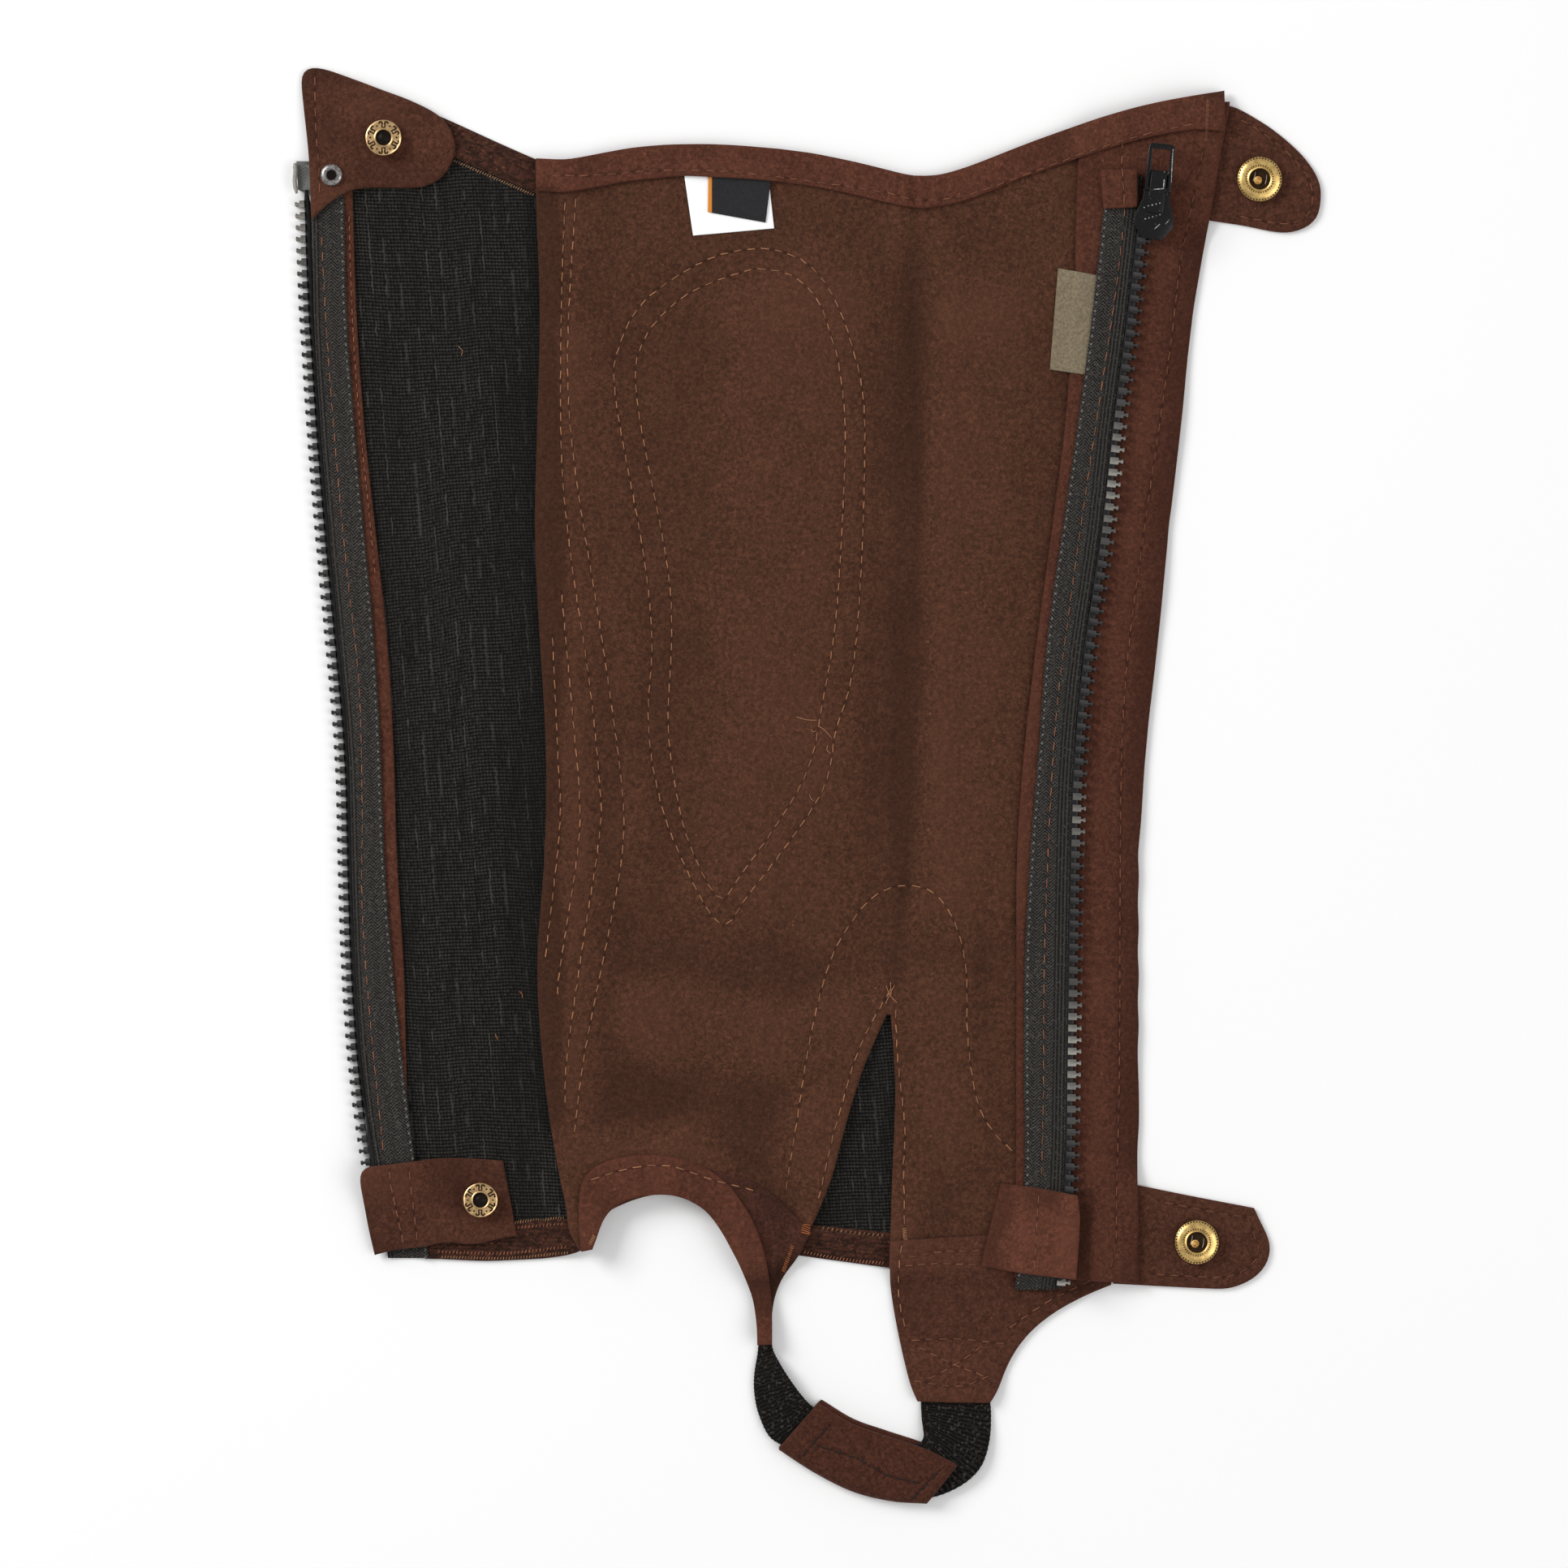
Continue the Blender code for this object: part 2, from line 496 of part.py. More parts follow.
def filled_shape(name, outline, collection, depth=0.0):
    """The face, or with a depth the block, inside a closed outline in millimetres."""
    curve = bpy.data.curves.new(name + "_outline", "CURVE")
    curve.dimensions = "2D"
    curve.fill_mode = "BOTH"
    curve.extrude = depth / 2
    spline = curve.splines.new("POLY")
    spline.points.add(len(outline) - 1)
    for point, (x, y) in zip(spline.points, outline):
        point.co = (x, y, 0.0, 1.0)
    spline.use_cyclic_u = True
    guide = bpy.data.objects.new(name + "_outline", curve)
    collection.objects.link(guide)
    view = bpy.context.evaluated_depsgraph_get()
    filled = bpy.data.meshes.new_from_object(guide.evaluated_get(view))
    shape = bmesh.new()
    shape.from_mesh(filled)
    bmesh.ops.remove_doubles(shape, verts=shape.verts[:], dist=0.001)
    bpy.data.objects.remove(guide)
    bpy.data.curves.remove(curve)
    bpy.data.meshes.remove(filled)
    return shape


def cloth_piece(name, outline, thickness, finish, heap, collection, cell=(CELL_WIDE, CELL_LONG), rows=(),
                beside=False):
    """Cut one flat piece of cloth, rule it into cells and lay it on the heap.

    The rows are the heights of its cross lines, in place of even ones.
    """
    sheet = filled_shape(name, outline, collection)
    bmesh.ops.dissolve_faces(sheet, faces=sheet.faces[:])
    corners = np.array([vertex.co[:2] for vertex in sheet.verts])
    for axis in (0, 1):
        direction = Vector((1, 0, 0)) if axis == 0 else Vector((0, 1, 0))
        low = corners[:, axis].min()
        high = corners[:, axis].max()
        count = max(1, round((high - low) / cell[axis]))
        lines = [float(low + (high - low) * line / count) for line in range(1, count)]
        if axis == 1 and rows:
            lines = [row for row in rows if low + 1 < row < high - 1]
        for line in lines:
            place = direction * line
            geometry = sheet.verts[:] + sheet.edges[:] + sheet.faces[:]
            bmesh.ops.bisect_plane(sheet, geom=geometry, dist=SNAP, plane_co=place, plane_no=direction)
    bmesh.ops.remove_doubles(sheet, verts=sheet.verts[:], dist=SHORTEST_EDGE)
    heap.lay(sheet, thickness, beside)
    return new_piece(name, mesh_from(sheet, name), finish, collection)


def turned_piece(name, profile, place, radius, height, finish, collection):
    """A turned shape: its profile runs down its outer side, top to bottom."""
    shape = bmesh.new()
    vertices = [shape.verts.new((share * radius, 0.0, z)) for share, z in profile]
    for first, second in zip(vertices, vertices[1:]):
        shape.edges.new((first, second))
    piece = new_piece(name, mesh_from(shape, name), finish, collection)
    piece.location = (place.x * MM, place.y * MM, height * MM)
    turning = piece.modifiers.new("turning", "SCREW")
    turning.angle = math.tau
    turning.steps = TURNING_STEPS
    turning.render_steps = TURNING_STEPS
    turning.use_merge_vertices = True
    turning.merge_threshold = 0.00001
    return piece


def ribbon_shape(rows, across):
    """An open strip through rows of edge points, made a wall with Solidify later."""
    shape = bmesh.new()
    bmesh.ops.create_grid(shape, x_segments=len(rows) - 1, y_segments=across, size=0.5)
    for vertex in shape.verts:
        row = round((vertex.co.x + 0.5) * (len(rows) - 1))
        share = vertex.co.y + 0.5
        inner, outer = rows[row]
        vertex.co = inner.lerp(outer, share)
    return shape


def add_wall(piece, thickness, offset):
    """Give an open surface its thickness."""
    wall = piece.modifiers.new("wall", "SOLIDIFY")
    wall.thickness = thickness * MM
    wall.offset = offset
    wall.use_even_offset = True


def snap_caps(collection, heap):
    """The snap caps, which lie on the floor under the right tabs."""
    for place in SOCKETS:
        heap.add(turned_piece("cap_" + place.name, CAP_PROFILE, place, CAP_RADIUS, 0.0, brass_finish,
                              collection))


def right_tabs(collection, heap):
    """The snap tabs on the right edge, butted against the main panel under the zip flap."""
    butt_top = seam_line("flap_right", 158, 188, -TAB_BUTT, 10)
    outline = outline_of(smooth_line(TAB_TOP_RIGHT_TIP, 6), butt_top[:1], butt_top[-1:])
    cloth_piece("tab_top_right", outline, SUEDE, suede_finish, heap, collection, (5, 5))
    top, bottom = TAB_BOTTOM_RIGHT_BUTT
    outline = outline_of([TAB_BOTTOM_RIGHT_CORNER], smooth_line(TAB_BOTTOM_RIGHT_TIP, 4),
                         seam_line("flap_right", bottom, top, -TAB_BUTT, 12))
    cloth_piece("tab_bottom_right", outline, SUEDE, suede_finish, heap, collection, (6, 6))


def knit_panels(collection, heap):
    """The stretch panel beside the left zip and the ankle gusset."""
    outline = outline_of(KNIT_TOP, seam_line("suede_left", 158, -121, KNIT_UNDERLAP, 14)[1:],
                         seam_line("left_strip", -123.5, 190, -9.0, 14))
    cloth_piece("stretch_panel", outline, KNIT, knit_finish, heap, collection, (8, 12))
    cloth_piece("gusset_panel", GUSSET, KNIT, knit_finish, heap, collection, (6, 10))


def edge_elastics(collection, heap):
    """Woven elastic that binds the knit edges at the knee, the foot and the gusset."""
    for name, outline in (("stretch_top_elastic", TOP_ELASTIC), ("stretch_bottom_elastic", BOTTOM_ELASTIC),
                          ("gusset_elastic", GUSSET_ELASTIC)):
        cloth_piece(name, outline, WOVEN_ELASTIC, elastic_finish, heap, collection, (7, 30))


def strap(collection, heap):
    """The under-foot strap: one elastic, with a suede sleeve folded round its middle."""
    rows = [(Vector((row.x_in, row.y_in, row.z_in)), Vector((row.x_out, row.y_out, row.z_out)))
            for row in STRAP_ROWS]
    shape = ribbon_shape(rows, 4)
    elastic = new_piece("strap_elastic", mesh_from(shape, "strap_elastic"), knit_finish, collection)
    add_wall(elastic, STRAP_THICKNESS, 0.0)
    heap.add(elastic)
    open_edge = smooth_line(SLEEVE_OPEN_EDGE, 6)
    fold_edge = smooth_line(SLEEVE_FOLD_EDGE, 6)
    count = min(len(open_edge), len(fold_edge))
    bottom = SLEEVE_WALL / 2 + SLEEVE_LIFT
    top = 2 * STRAP_MIDDLE - bottom
    bend = (top - bottom) / 2
    section = [(0.0, bottom), (0.33, bottom), (0.66, bottom)]
    section += [(1.0, bottom + bend - bend * math.cos(angle * math.pi / 5), math.sin(angle * math.pi / 5))
                for angle in range(6)]
    section += [(0.66, top), (0.33, top), (0.0, top)]
    sleeve = bmesh.new()
    bmesh.ops.create_grid(sleeve, x_segments=count - 1, y_segments=len(section) - 1, size=0.5)
    for vertex in sleeve.verts:
        row = round((vertex.co.x + 0.5) * (count - 1))
        share, z, *bulge = section[round((vertex.co.y + 0.5) * (len(section) - 1))]
        start = Vector((*open_edge[row], 0.0))
        end = Vector((*fold_edge[row], 0.0))
        across = (end - start).normalized()
        end -= across * (bend + SLEEVE_WALL / 2)
        vertex.co = start.lerp(end, share) + across * (bulge[0] * bend if bulge else 0.0) + Vector((0, 0, z))
    bmesh.ops.recalc_face_normals(sleeve, faces=sleeve.faces[:])
    piece = new_piece("strap_sleeve", mesh_from(sleeve, "strap_sleeve"), suede_finish, collection)
    add_wall(piece, SLEEVE_WALL, 0.0)
    heap.add(piece)


def suede_panels(collection, heap):
    """The main panel with its arch and notch, and the pieces sewn over its lower edge."""
    outline = outline_of(seam_line("suede_left", 172.6, -95, 0.0, 12), smooth_line(LIP_OUTER, 6),
                         smooth_line(LIP_INNER, 4), smooth_line(FOOT_ARCH, 5), [(-10.5, -133.5)],
                         smooth_line(NOTCH_LEFT, 11), smooth_line(NOTCH_RIGHT, 11),
                         seam_line("flap_right", -134, 188, -FACING_WIDTH, 14),
                         moved(reversed(smooth_line(KNEE_EDGE, 12)[:-1]), dy=-0.7))
    cloth_piece("main_panel", outline, SUEDE, suede_finish, heap, collection, (8.5, 12))
    outline = outline_of(smooth_line(YOKE_LEFT, 9), [(30.2, -171.1), (50.2, -171.3)],
                         smooth_line(YOKE_RIGHT, 6), [(83.8, -123.6), (50, -124.8), (36, -125.5)])
    cloth_piece("foot_yoke", outline, SUEDE, suede_finish, heap, collection)
    outline = outline_of(smooth_line(ROOT_TOP, 6), smooth_line(ROOT_RIGHT, 6), smooth_line(ROOT_HIDDEN, 6))
    cloth_piece("strap_root", outline, SUEDE, suede_finish, heap, collection, (5, 6))
    outline = outline_of(smooth_line(BAND_INNER, 5), smooth_line(BAND_ARCH, 5), smooth_line(BAND_OUTER, 5))
    cloth_piece("arch_band", outline, PATCH_SUEDE, binding_finish, heap, collection, (5, 6))


def zip_side(collection, heap):
    """The right zip half on its flap and the left one on its strip; gives the slider's level."""
    knee = [point for point in reversed(smooth_line(KNEE_EDGE, 10)) if 78 < point[0] < 114]
    outline = outline_of(seam_line("flap_left", 178, -136.3, 0.0, 16), [(72.5, -136.9), (82, -137.6)],
                         seam_line("flap_right", -138.3, 189.2, 0.0, 14), moved(knee, dy=-1.6))
    cloth_piece("zip_flap", outline, FLAP_SUEDE, binding_finish, heap, collection, (8, 13))
    cloth_piece("side_label", SIDE_LABEL, LABEL, label_finish, heap, collection, (7, 10))
    slider_level = slider_bed(heap)
    for strip in ZIP_STRIPS:
        rows = strip_rows(strip.start, strip.end, SLIDER_ROWS if strip.name.endswith("right") else ())
        outline = strip_outline((strip.left, strip.left_shift), (strip.right, strip.right_shift), rows)
        finish = suede_finish if strip.name == "zip_strip_left" else zip_finish
        cloth_piece(strip.name, outline, strip.thickness, finish, heap, collection,
                    (WHOLE_WIDTH, STRIP_PITCH), rows, True)
    return slider_level


def slider_frame():
    """Place and direction of the slider: it lies along the right zip half."""
    start = seam_x("right_zip", SLIDER_Y - 8)
    end = seam_x("right_zip", SLIDER_Y + 8)
    along = Vector((end - start, 16.0, 0.0)).normalized()
    across = Vector((along.y, -along.x, 0.0))
    origin = Vector((seam_x("right_zip", SLIDER_Y) - ZIP_CHAIN_WIDTH / 2, SLIDER_Y, 0.0))
    return Matrix((
        (across.x, along.x, 0.0, origin.x + across.x * SLIDER_SHIFT),
        (across.y, along.y, 0.0, origin.y + across.y * SLIDER_SHIFT),
        (0.0, 0.0, 1.0, 0.0),
        (0.0, 0.0, 0.0, 1.0)))


def slider_bed(heap):
    """Raise the heap where the slider's lower wing lies, so that the tape passes over it."""
    frame = slider_frame().inverted()
    half = max(x for x, y in SLIDER_HALF)
    end = max(y for x, y in SLIDER_HALF)
    grid_x, grid_y = np.meshgrid(heap.x, heap.y, indexing="ij")
    across = frame[0][0] * grid_x + frame[0][1] * grid_y + frame[0][3]
    along = frame[1][0] * grid_x + frame[1][1] * grid_y + frame[1][3]
    under = (abs(across) <= half) & (abs(along) <= end)
    slider_level = float(heap.top[under].max()) + GAP
    heap.top[under] = slider_level + SLIDER_WING
    return slider_level


def zip_covers(collection, heap):
    """The patches over the zip ends and the labels and binding along the knee edge."""
    cloth_piece("zip_top_patch", TOP_PATCH, PATCH_SUEDE, binding_finish, heap, collection, (5, 6))
    cloth_piece("zip_bottom_patch", BOTTOM_PATCH, PATCH_SUEDE, binding_finish, heap, collection, (4, 7))
    cloth_piece("care_label", CARE_LABEL, LABEL, label_finish, heap, collection, (8, 8))
    cloth_piece("size_label", SIZE_LABEL, LABEL, label_finish, heap, collection, (8, 8))
    upper = smooth_line(KNEE_EDGE, 9)
    lower = moved(reversed(upper), dy=-BINDING_WIDTH)
    outline = outline_of(upper, [(115.2, 180.8)], [point for point in lower if point[0] < 112])
    cloth_piece("top_binding", outline, SUEDE, binding_finish, heap, collection, (8, 5))


def left_tabs(collection, heap):
    """The studs on the knit, and the snap tabs over them."""
    for place in STUD_BACKS:
        level = heap.level(place, STUD_RADIUS / 2)
        heap.add(turned_piece("stud_" + place.name, STUD_PROFILE, place, STUD_RADIUS, level, brass_finish,
                              collection))
    outline = outline_of(TAB_TOP_LEFT, smooth_line(TAB_TOP_LEFT_CORNER, 2), smooth_line(TAB_TOP_LEFT_TIP, 6))
    cloth_piece("tab_top_left", outline, SUEDE, suede_finish, heap, collection, (5, 5))
    cloth_piece("tab_bottom_left", outline_of(TAB_BOTTOM_LEFT), SUEDE, suede_finish, heap, collection, (5, 5))


def snap_tops(collection, heap):
    """The parts of the snaps and the eyelet that show on the inner side."""
    for kind, profile, places in (("stud_back_", STUD_BACK_PROFILE, STUD_BACKS),
                                  ("socket_", SOCKET_PROFILE, SOCKETS)):
        for place in places:
            level = heap.level(place, place.radius)
            turned_piece(kind + place.name, profile, place, place.radius, level, brass_finish, collection)
    level = heap.level(EYELET, EYELET.radius)
    turned_piece("eyelet", EYELET_PROFILE, EYELET, EYELET.radius, level, gunmetal_finish, collection)


def block(name, low, high, cutters):
    """A box cutter or block between two corners, in the slider's own frame."""
    bpy.ops.mesh.primitive_cube_add(size=1.0)
    cube = bpy.context.active_object
    cube.name = name
    size = [(b - a) * MM for a, b in zip(low, high)]
    centre = [(a + b) / 2 * MM for a, b in zip(low, high)]
    cube.data.transform(Matrix.Translation(centre) @ Matrix.Diagonal((*size, 1.0)))
    for owner in list(cube.users_collection):
        owner.objects.unlink(cube)
    cutters.objects.link(cube)
    cube.hide_render = True
    cube.display_type = "WIRE"
    return cube


def boolean(piece, other, operation):
    """Cut or join another shape into a piece."""
    change = piece.modifiers.new(operation.lower(), "BOOLEAN")
    change.operation = operation
    change.object = other


def slider_and_pull(collection, cutters, level):
    """The slider with its channel, slot and crown, and the ring pull hinged in the crown."""
    height = 2 * SLIDER_WING + SLIDER_CHANNEL_HEIGHT
    frame = slider_frame()
    place = Vector((frame.translation.x, frame.translation.y, level))
    placed = Matrix.Translation(place * MM) @ frame.to_3x3().to_4x4()
    outline = SLIDER_HALF + [(-x, y) for x, y in reversed(SLIDER_HALF)]
    body = filled_shape("zip_slider", outline, collection, height)
    body.transform(Matrix.Translation((0, 0, height / 2)))
    slider = new_piece("zip_slider", mesh_from(body, "zip_slider"), lacquer_finish, collection)
    slider.matrix_world = placed
    half = max(x for x, y in SLIDER_HALF)
    inside = half - SLIDER_FLANGE
    channel = block("slider_channel", (-inside, -CUT_PAST, SLIDER_WING),
                    (inside, SLIDER_CHANNEL_END, SLIDER_WING + SLIDER_CHANNEL_HEIGHT), cutters)
    slot = block("slider_slot", (-CUT_PAST, -CUT_PAST, SLIDER_WING),
                 (-inside + SLIDER_SLOT_INNER, CUT_PAST, SLIDER_WING + SLIDER_SLOT_HEIGHT), cutters)
    crown = block("slider_crown", (-CROWN_WIDTH / 2, CROWN_START, height - 0.4),
                  (CROWN_WIDTH / 2, CROWN_END, height + CROWN_HEIGHT), cutters)
    window = block("crown_window", (-CROWN_WIDTH, PULL_HINGE_Y - CROWN_WINDOW, height + 0.15),
                   (CROWN_WIDTH, PULL_HINGE_Y + CROWN_WINDOW, height + CROWN_WINDOW_TOP), cutters)
    for shape in (channel, slot, crown, window):
        shape.matrix_world = placed
    boolean(slider, channel, "DIFFERENCE")
    boolean(slider, slot, "DIFFERENCE")
    boolean(slider, crown, "UNION")
    boolean(slider, window, "DIFFERENCE")
    hinge = Vector((0.0, PULL_HINGE_Y, height + PULL_HINGE_LIFT)) * MM
    outer = PULL_WIDTH / 2
    bar = PULL_THICKNESS / 2
    right = [(outer, -bar)]
    right += [(outer - PULL_ROUNDING * (1 - math.cos(turn * math.pi / 6)),
               PULL_LENGTH - PULL_ROUNDING * (1 - math.sin(turn * math.pi / 6))) for turn in range(4)]
    ring = filled_shape("zip_pull", right + [(-x, y) for x, y in reversed(right)], collection, PULL_THICKNESS)
    pull = new_piece("zip_pull", mesh_from(ring, "zip_pull"), lacquer_finish, collection)
    pull.matrix_world = placed @ Matrix.Translation(hinge)
    hole = block("pull_hole", (PULL_SIDE - outer, bar, -CUT_PAST),
                 (outer - PULL_SIDE, PULL_LENGTH - PULL_TIP, CUT_PAST), cutters)
    hole.matrix_world = pull.matrix_world
    boolean(pull, hole, "DIFFERENCE")


def shade(collection):
    """Round shapes are smooth, and edges stay crisp."""
    for piece in collection.objects:
        piece.data.shade_smooth()
        piece.data.set_sharp_from_angle(angle=SHARP_BEND)


def build():
    """Lay the whole half chap from the floor up."""
    for leftover in list(bpy.data.objects):
        bpy.data.objects.remove(leftover)
    collection = bpy.data.collections.new(COLLECTION_NAME)
    cutters = bpy.data.collections.new("cutters")
    for group in (collection, cutters):
        bpy.context.scene.collection.children.link(group)
    heap = Heap()
    snap_caps(collection, heap)
    right_tabs(collection, heap)
    knit_panels(collection, heap)
    edge_elastics(collection, heap)
    strap(collection, heap)
    suede_panels(collection, heap)
    slider_level = zip_side(collection, heap)
    zip_covers(collection, heap)
    left_tabs(collection, heap)
    snap_tops(collection, heap)
    slider_and_pull(collection, cutters, slider_level)
    shade(collection)


build()
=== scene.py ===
"""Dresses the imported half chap: napped suede, rib knit, elastic, moulded zip and brass snaps.

The garment lies open with its inner side up. Each cloth piece is laid in turn on a height map of
what lies under it, so the layers rest on each other as the solids of the frame do.
"""
import math
import random
from collections import namedtuple
from functools import cache

import bmesh
import bpy
import numpy as np
from mathutils import Matrix, Vector
from mathutils.bvhtree import BVHTree
from mathutils.geometry import delaunay_2d_cdt
from mathutils.kdtree import KDTree


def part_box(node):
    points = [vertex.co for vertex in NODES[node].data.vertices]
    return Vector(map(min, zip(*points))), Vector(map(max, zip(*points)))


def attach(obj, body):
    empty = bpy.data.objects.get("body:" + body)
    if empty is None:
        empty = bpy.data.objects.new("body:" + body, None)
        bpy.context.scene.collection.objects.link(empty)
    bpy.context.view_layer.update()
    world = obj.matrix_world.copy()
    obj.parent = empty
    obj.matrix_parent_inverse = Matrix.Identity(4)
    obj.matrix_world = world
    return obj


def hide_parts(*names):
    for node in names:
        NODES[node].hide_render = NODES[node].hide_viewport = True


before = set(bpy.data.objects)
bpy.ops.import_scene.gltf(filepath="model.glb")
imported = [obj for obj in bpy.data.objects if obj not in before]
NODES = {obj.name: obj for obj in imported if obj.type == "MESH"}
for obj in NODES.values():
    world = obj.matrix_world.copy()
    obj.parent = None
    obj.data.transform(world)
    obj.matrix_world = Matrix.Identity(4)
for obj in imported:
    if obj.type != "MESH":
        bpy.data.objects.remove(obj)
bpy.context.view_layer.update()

bl_info = {
    "name": "Half Chap",
    "version": (1, 0, 0),
    "blender": (4, 5, 0),
    "location": "View3D > Sidebar > Half Chap",
    "description": "Dresses a suede half chap with stretch panel, zip and snap tabs",
    "category": "Add Mesh",
}

MM = 0.001

# Height map of the laid garment, in millimetres
CELL = 0.5
MAP_LOW = (-152.0, -208.0)
MAP_HIGH = (152.0, 208.0)
GAP = 0.05

# Thickness of each cloth, in millimetres
SUEDE = 1.4
FLAP_SUEDE = 1.6
PATCH_SUEDE = 1.2
KNIT = 1.0
ELASTIC = 1.1
STRAP = 1.3
SLEEVE = 1.2
TAPE = 0.8
LABEL = 0.5
BINDING = 1.2

# Where the size label's coloured selvedge begins
SELVEDGE = -26.9

# Ribs of the woven elastics
ELASTIC_RIB_PITCH = 1.15
ELASTIC_RIB_HEIGHT = 0.16

# Seams and edges
OUTLINE_STEP = 1.6
SHARP_BEND = math.radians(50)
SOFTENING = 4
GROOVE_REACH = 1.25
GROOVE_WIDTH = 0.62
GROOVE_DEPTH = 0.3
GROOVE_CELL = 0.6
UNDERSIDE_CELL = 6.0
WORN_REACH = 1.8
EDGE_WINDOW = 2.5
WELD = 1e-6
LEAST_FILL = 0.4
NARROWEST_CUT = 10.1

# Outlines that turn more sharply, or wave more, than their nodes
DRAWN = {
    "tab_top_left": [
        (-137.7, 156.3), (-135.9, 158.3), (-133.1, 160.8), (-129.7, 163.3), (-126.9, 164.8), (-123, 165.4),
        (-113, 165.3), (-108.3, 165.1), (-103.9, 166.4), (-100.5, 168.9), (-98.3, 173.2), (-97.4, 177),
        (-98.3, 179), (-99.7, 182.7), (-101.6, 185), (-105.3, 187.2), (-111.8, 190.2), (-116.8, 191.9),
        (-124.1, 194.7), (-133.7, 198.3), (-137, 199), (-138.9, 199), (-140.3, 198.4), (-140.9, 197),
        (-140.8, 195), (-139.6, 183.9), (-138.7, 176), (-138.3, 170.4), (-138, 163.6)],
    "tab_bottom_left": [
        (-120.3, -130.3), (-116.4, -129.2), (-112.6, -128.4), (-108.6, -128.3), (-105.9, -128),
        (-103.6, -127.1), (-101.4, -126.5), (-98.7, -126.4), (-96, -127.3), (-93, -127.5), (-90.1, -126.9),
        (-87, -126), (-84.3, -125.3), (-80.9, -124.9), (-84.7, -104.1), (-92, -103.6), (-100.5, -103.3),
        (-104.1, -103.5), (-108.6, -104.2), (-118.5, -105.4), (-122.3, -105.4), (-124, -106),
        (-124.7, -107.4), (-124.1, -110.9), (-122.1, -122.6)],
    "tab_bottom_right": [
        (84.3, -138.3), (84.5, -109.8), (91.9, -111.1), (107.1, -114.2), (123.4, -117.3), (124.8, -120.5),
        (126.8, -124.2), (128, -127), (128.1, -129.5), (126.8, -133.4), (124.5, -136), (121.7, -137.9),
        (116.4, -139.9), (105.4, -139.4)][::-1],
    "zip_bottom_patch": [
        (47.5, -133.4), (57.6, -135), (62.8, -135.7), (73.8, -136.8), (74.4, -130), (75.1, -119),
        (74.3, -113.6), (66, -112), (60.4, -111.1), (53.1, -110.4)],
}

# Ends that reach on under or past their neighbours: piece, corner of the box that is moved, and how far in x
Reach = namedtuple("Reach", "piece high_x low_y move")
REACHES = (Reach("stretch_bottom_elastic", -103.0, -208.0, -2.8), Reach("zip_tape_left", -136.0, 164.2, -3.7))

# Hollows and crests of the cloth, which the finishes paint with shade and light, are judged over this reach
RELIEF_REACH = 11.0

# Zip
TOOTH_HEIGHT = 2.3
FIRST_LEFT_TOOTH = 160.8
LAST_RIGHT_TOOTH = -137.8
TOP_LEAN = 0.8
LEAN_FROM = 120.0
LEAN_OVER = 30.0
TOOTH_GRIP = 1.8
CORD_LIFT = 0.75
LEFT_STOP = [(-142.35, 172.2), (-142.25, 169.6), (-142.45, 167.2), (-142.15, 165.2), (-141.9, 163.8)]

# The left tape's bare end has a painted highlight: left of this x and above this y
HIGHLIGHT_END = (-137.0, 164.2)

# Zip halves: a tooth's length, how much of the tape's corded band the teeth hide, and the cord between
# them, by its start in pitches, how far in it lies and its radius
ZipHalf = namedtuple("ZipHalf", "name teeth_left tooth band_cut cord_start cord_inset cord_radius")
ZIP_HALVES = (
    ZipHalf("right", False, 3.7, 0.0, 0.5, 3.1, 1.2),
    ZipHalf("left", True, 2.7, 2.2, 1.2, 3.5, 0.85),
)

# Soft rolls of the laid cloth: a ridge along a line, with its half width and height
Fold = namedtuple("Fold", "name x0 y0 x1 y1 half_width height")
FOLDS = (
    Fold("calf swell", -2, 125, -8, -20, 32, 4.6),
    Fold("shin swell", 50, 125, 46, -25, 21, 3.6),
    Fold("roll beside the stretch panel", -66, 120, -65, -85, 10, 2.6),
    Fold("ankle roll", -44, -66, -2, -72, 15, 2.8),
    Fold("roll left of the gusset", 9, -66, 0, -104, 11, 2.4),
    Fold("roll right of the gusset", 36, -62, 38, -100, 12, 2.0),
    Fold("foot arch lift", -52, -106, -34, -106, 15, 4.2),
    Fold("arch lift towards the strap", -30, -110, -18, -128, 11, 3.0),
    Fold("lip curl", -66, -104, -63, -124, 8, 2.6),
    Fold("stretch panel swell", -98, 110, -94, -70, 16, 1.6),
)
MERGING = 3

# Strips of painted shade (a negative height) and painted light on the suede, darker or paler than the relief
# alone makes them
LIGHT_AND_SHADE_BANDS = (
    Fold("by the stretch panel, upper", -73, 162, -71.5, 40, 7.5, -3.6),
    Fold("by the stretch panel, lower", -71.5, 40, -71, -90, 7, -2.6),
    Fold("along the middle crease", 25, 150, 24, -30, 5, -0.3),
    Fold("ankle roll", -40, -66, -6, -72, 9, -0.3),
    Fold("above the ankle roll", -40, -48, -8, -56, 7, -0.3),
    Fold("beside the gusset", 9, -80, 2, -112, 8, -0.5),
    Fold("shin", 55, 120, 48, -60, 9, -0.3),
    Fold("shadow beside the lower patch", 76.9, -114, 75.8, -138, 2.6, -5.0),
    Fold("lower patch, right of its seam", 67.5, -113, 66.5, -136, 5, -1.0),
    Fold("lower patch, left of its seam", 57, -113, 54.5, -132, 6, 0.6),
    Fold("lower tab, before the stud", -97.5, -106, -97, -126, 3.5, -0.7),
    Fold("lower tab, between its seams", -113, -107, -110.5, -126, 2.5, 0.5),
    Fold("upper tab, fold side", -139, 192, -137.5, 172, 2.5, -0.4),
)

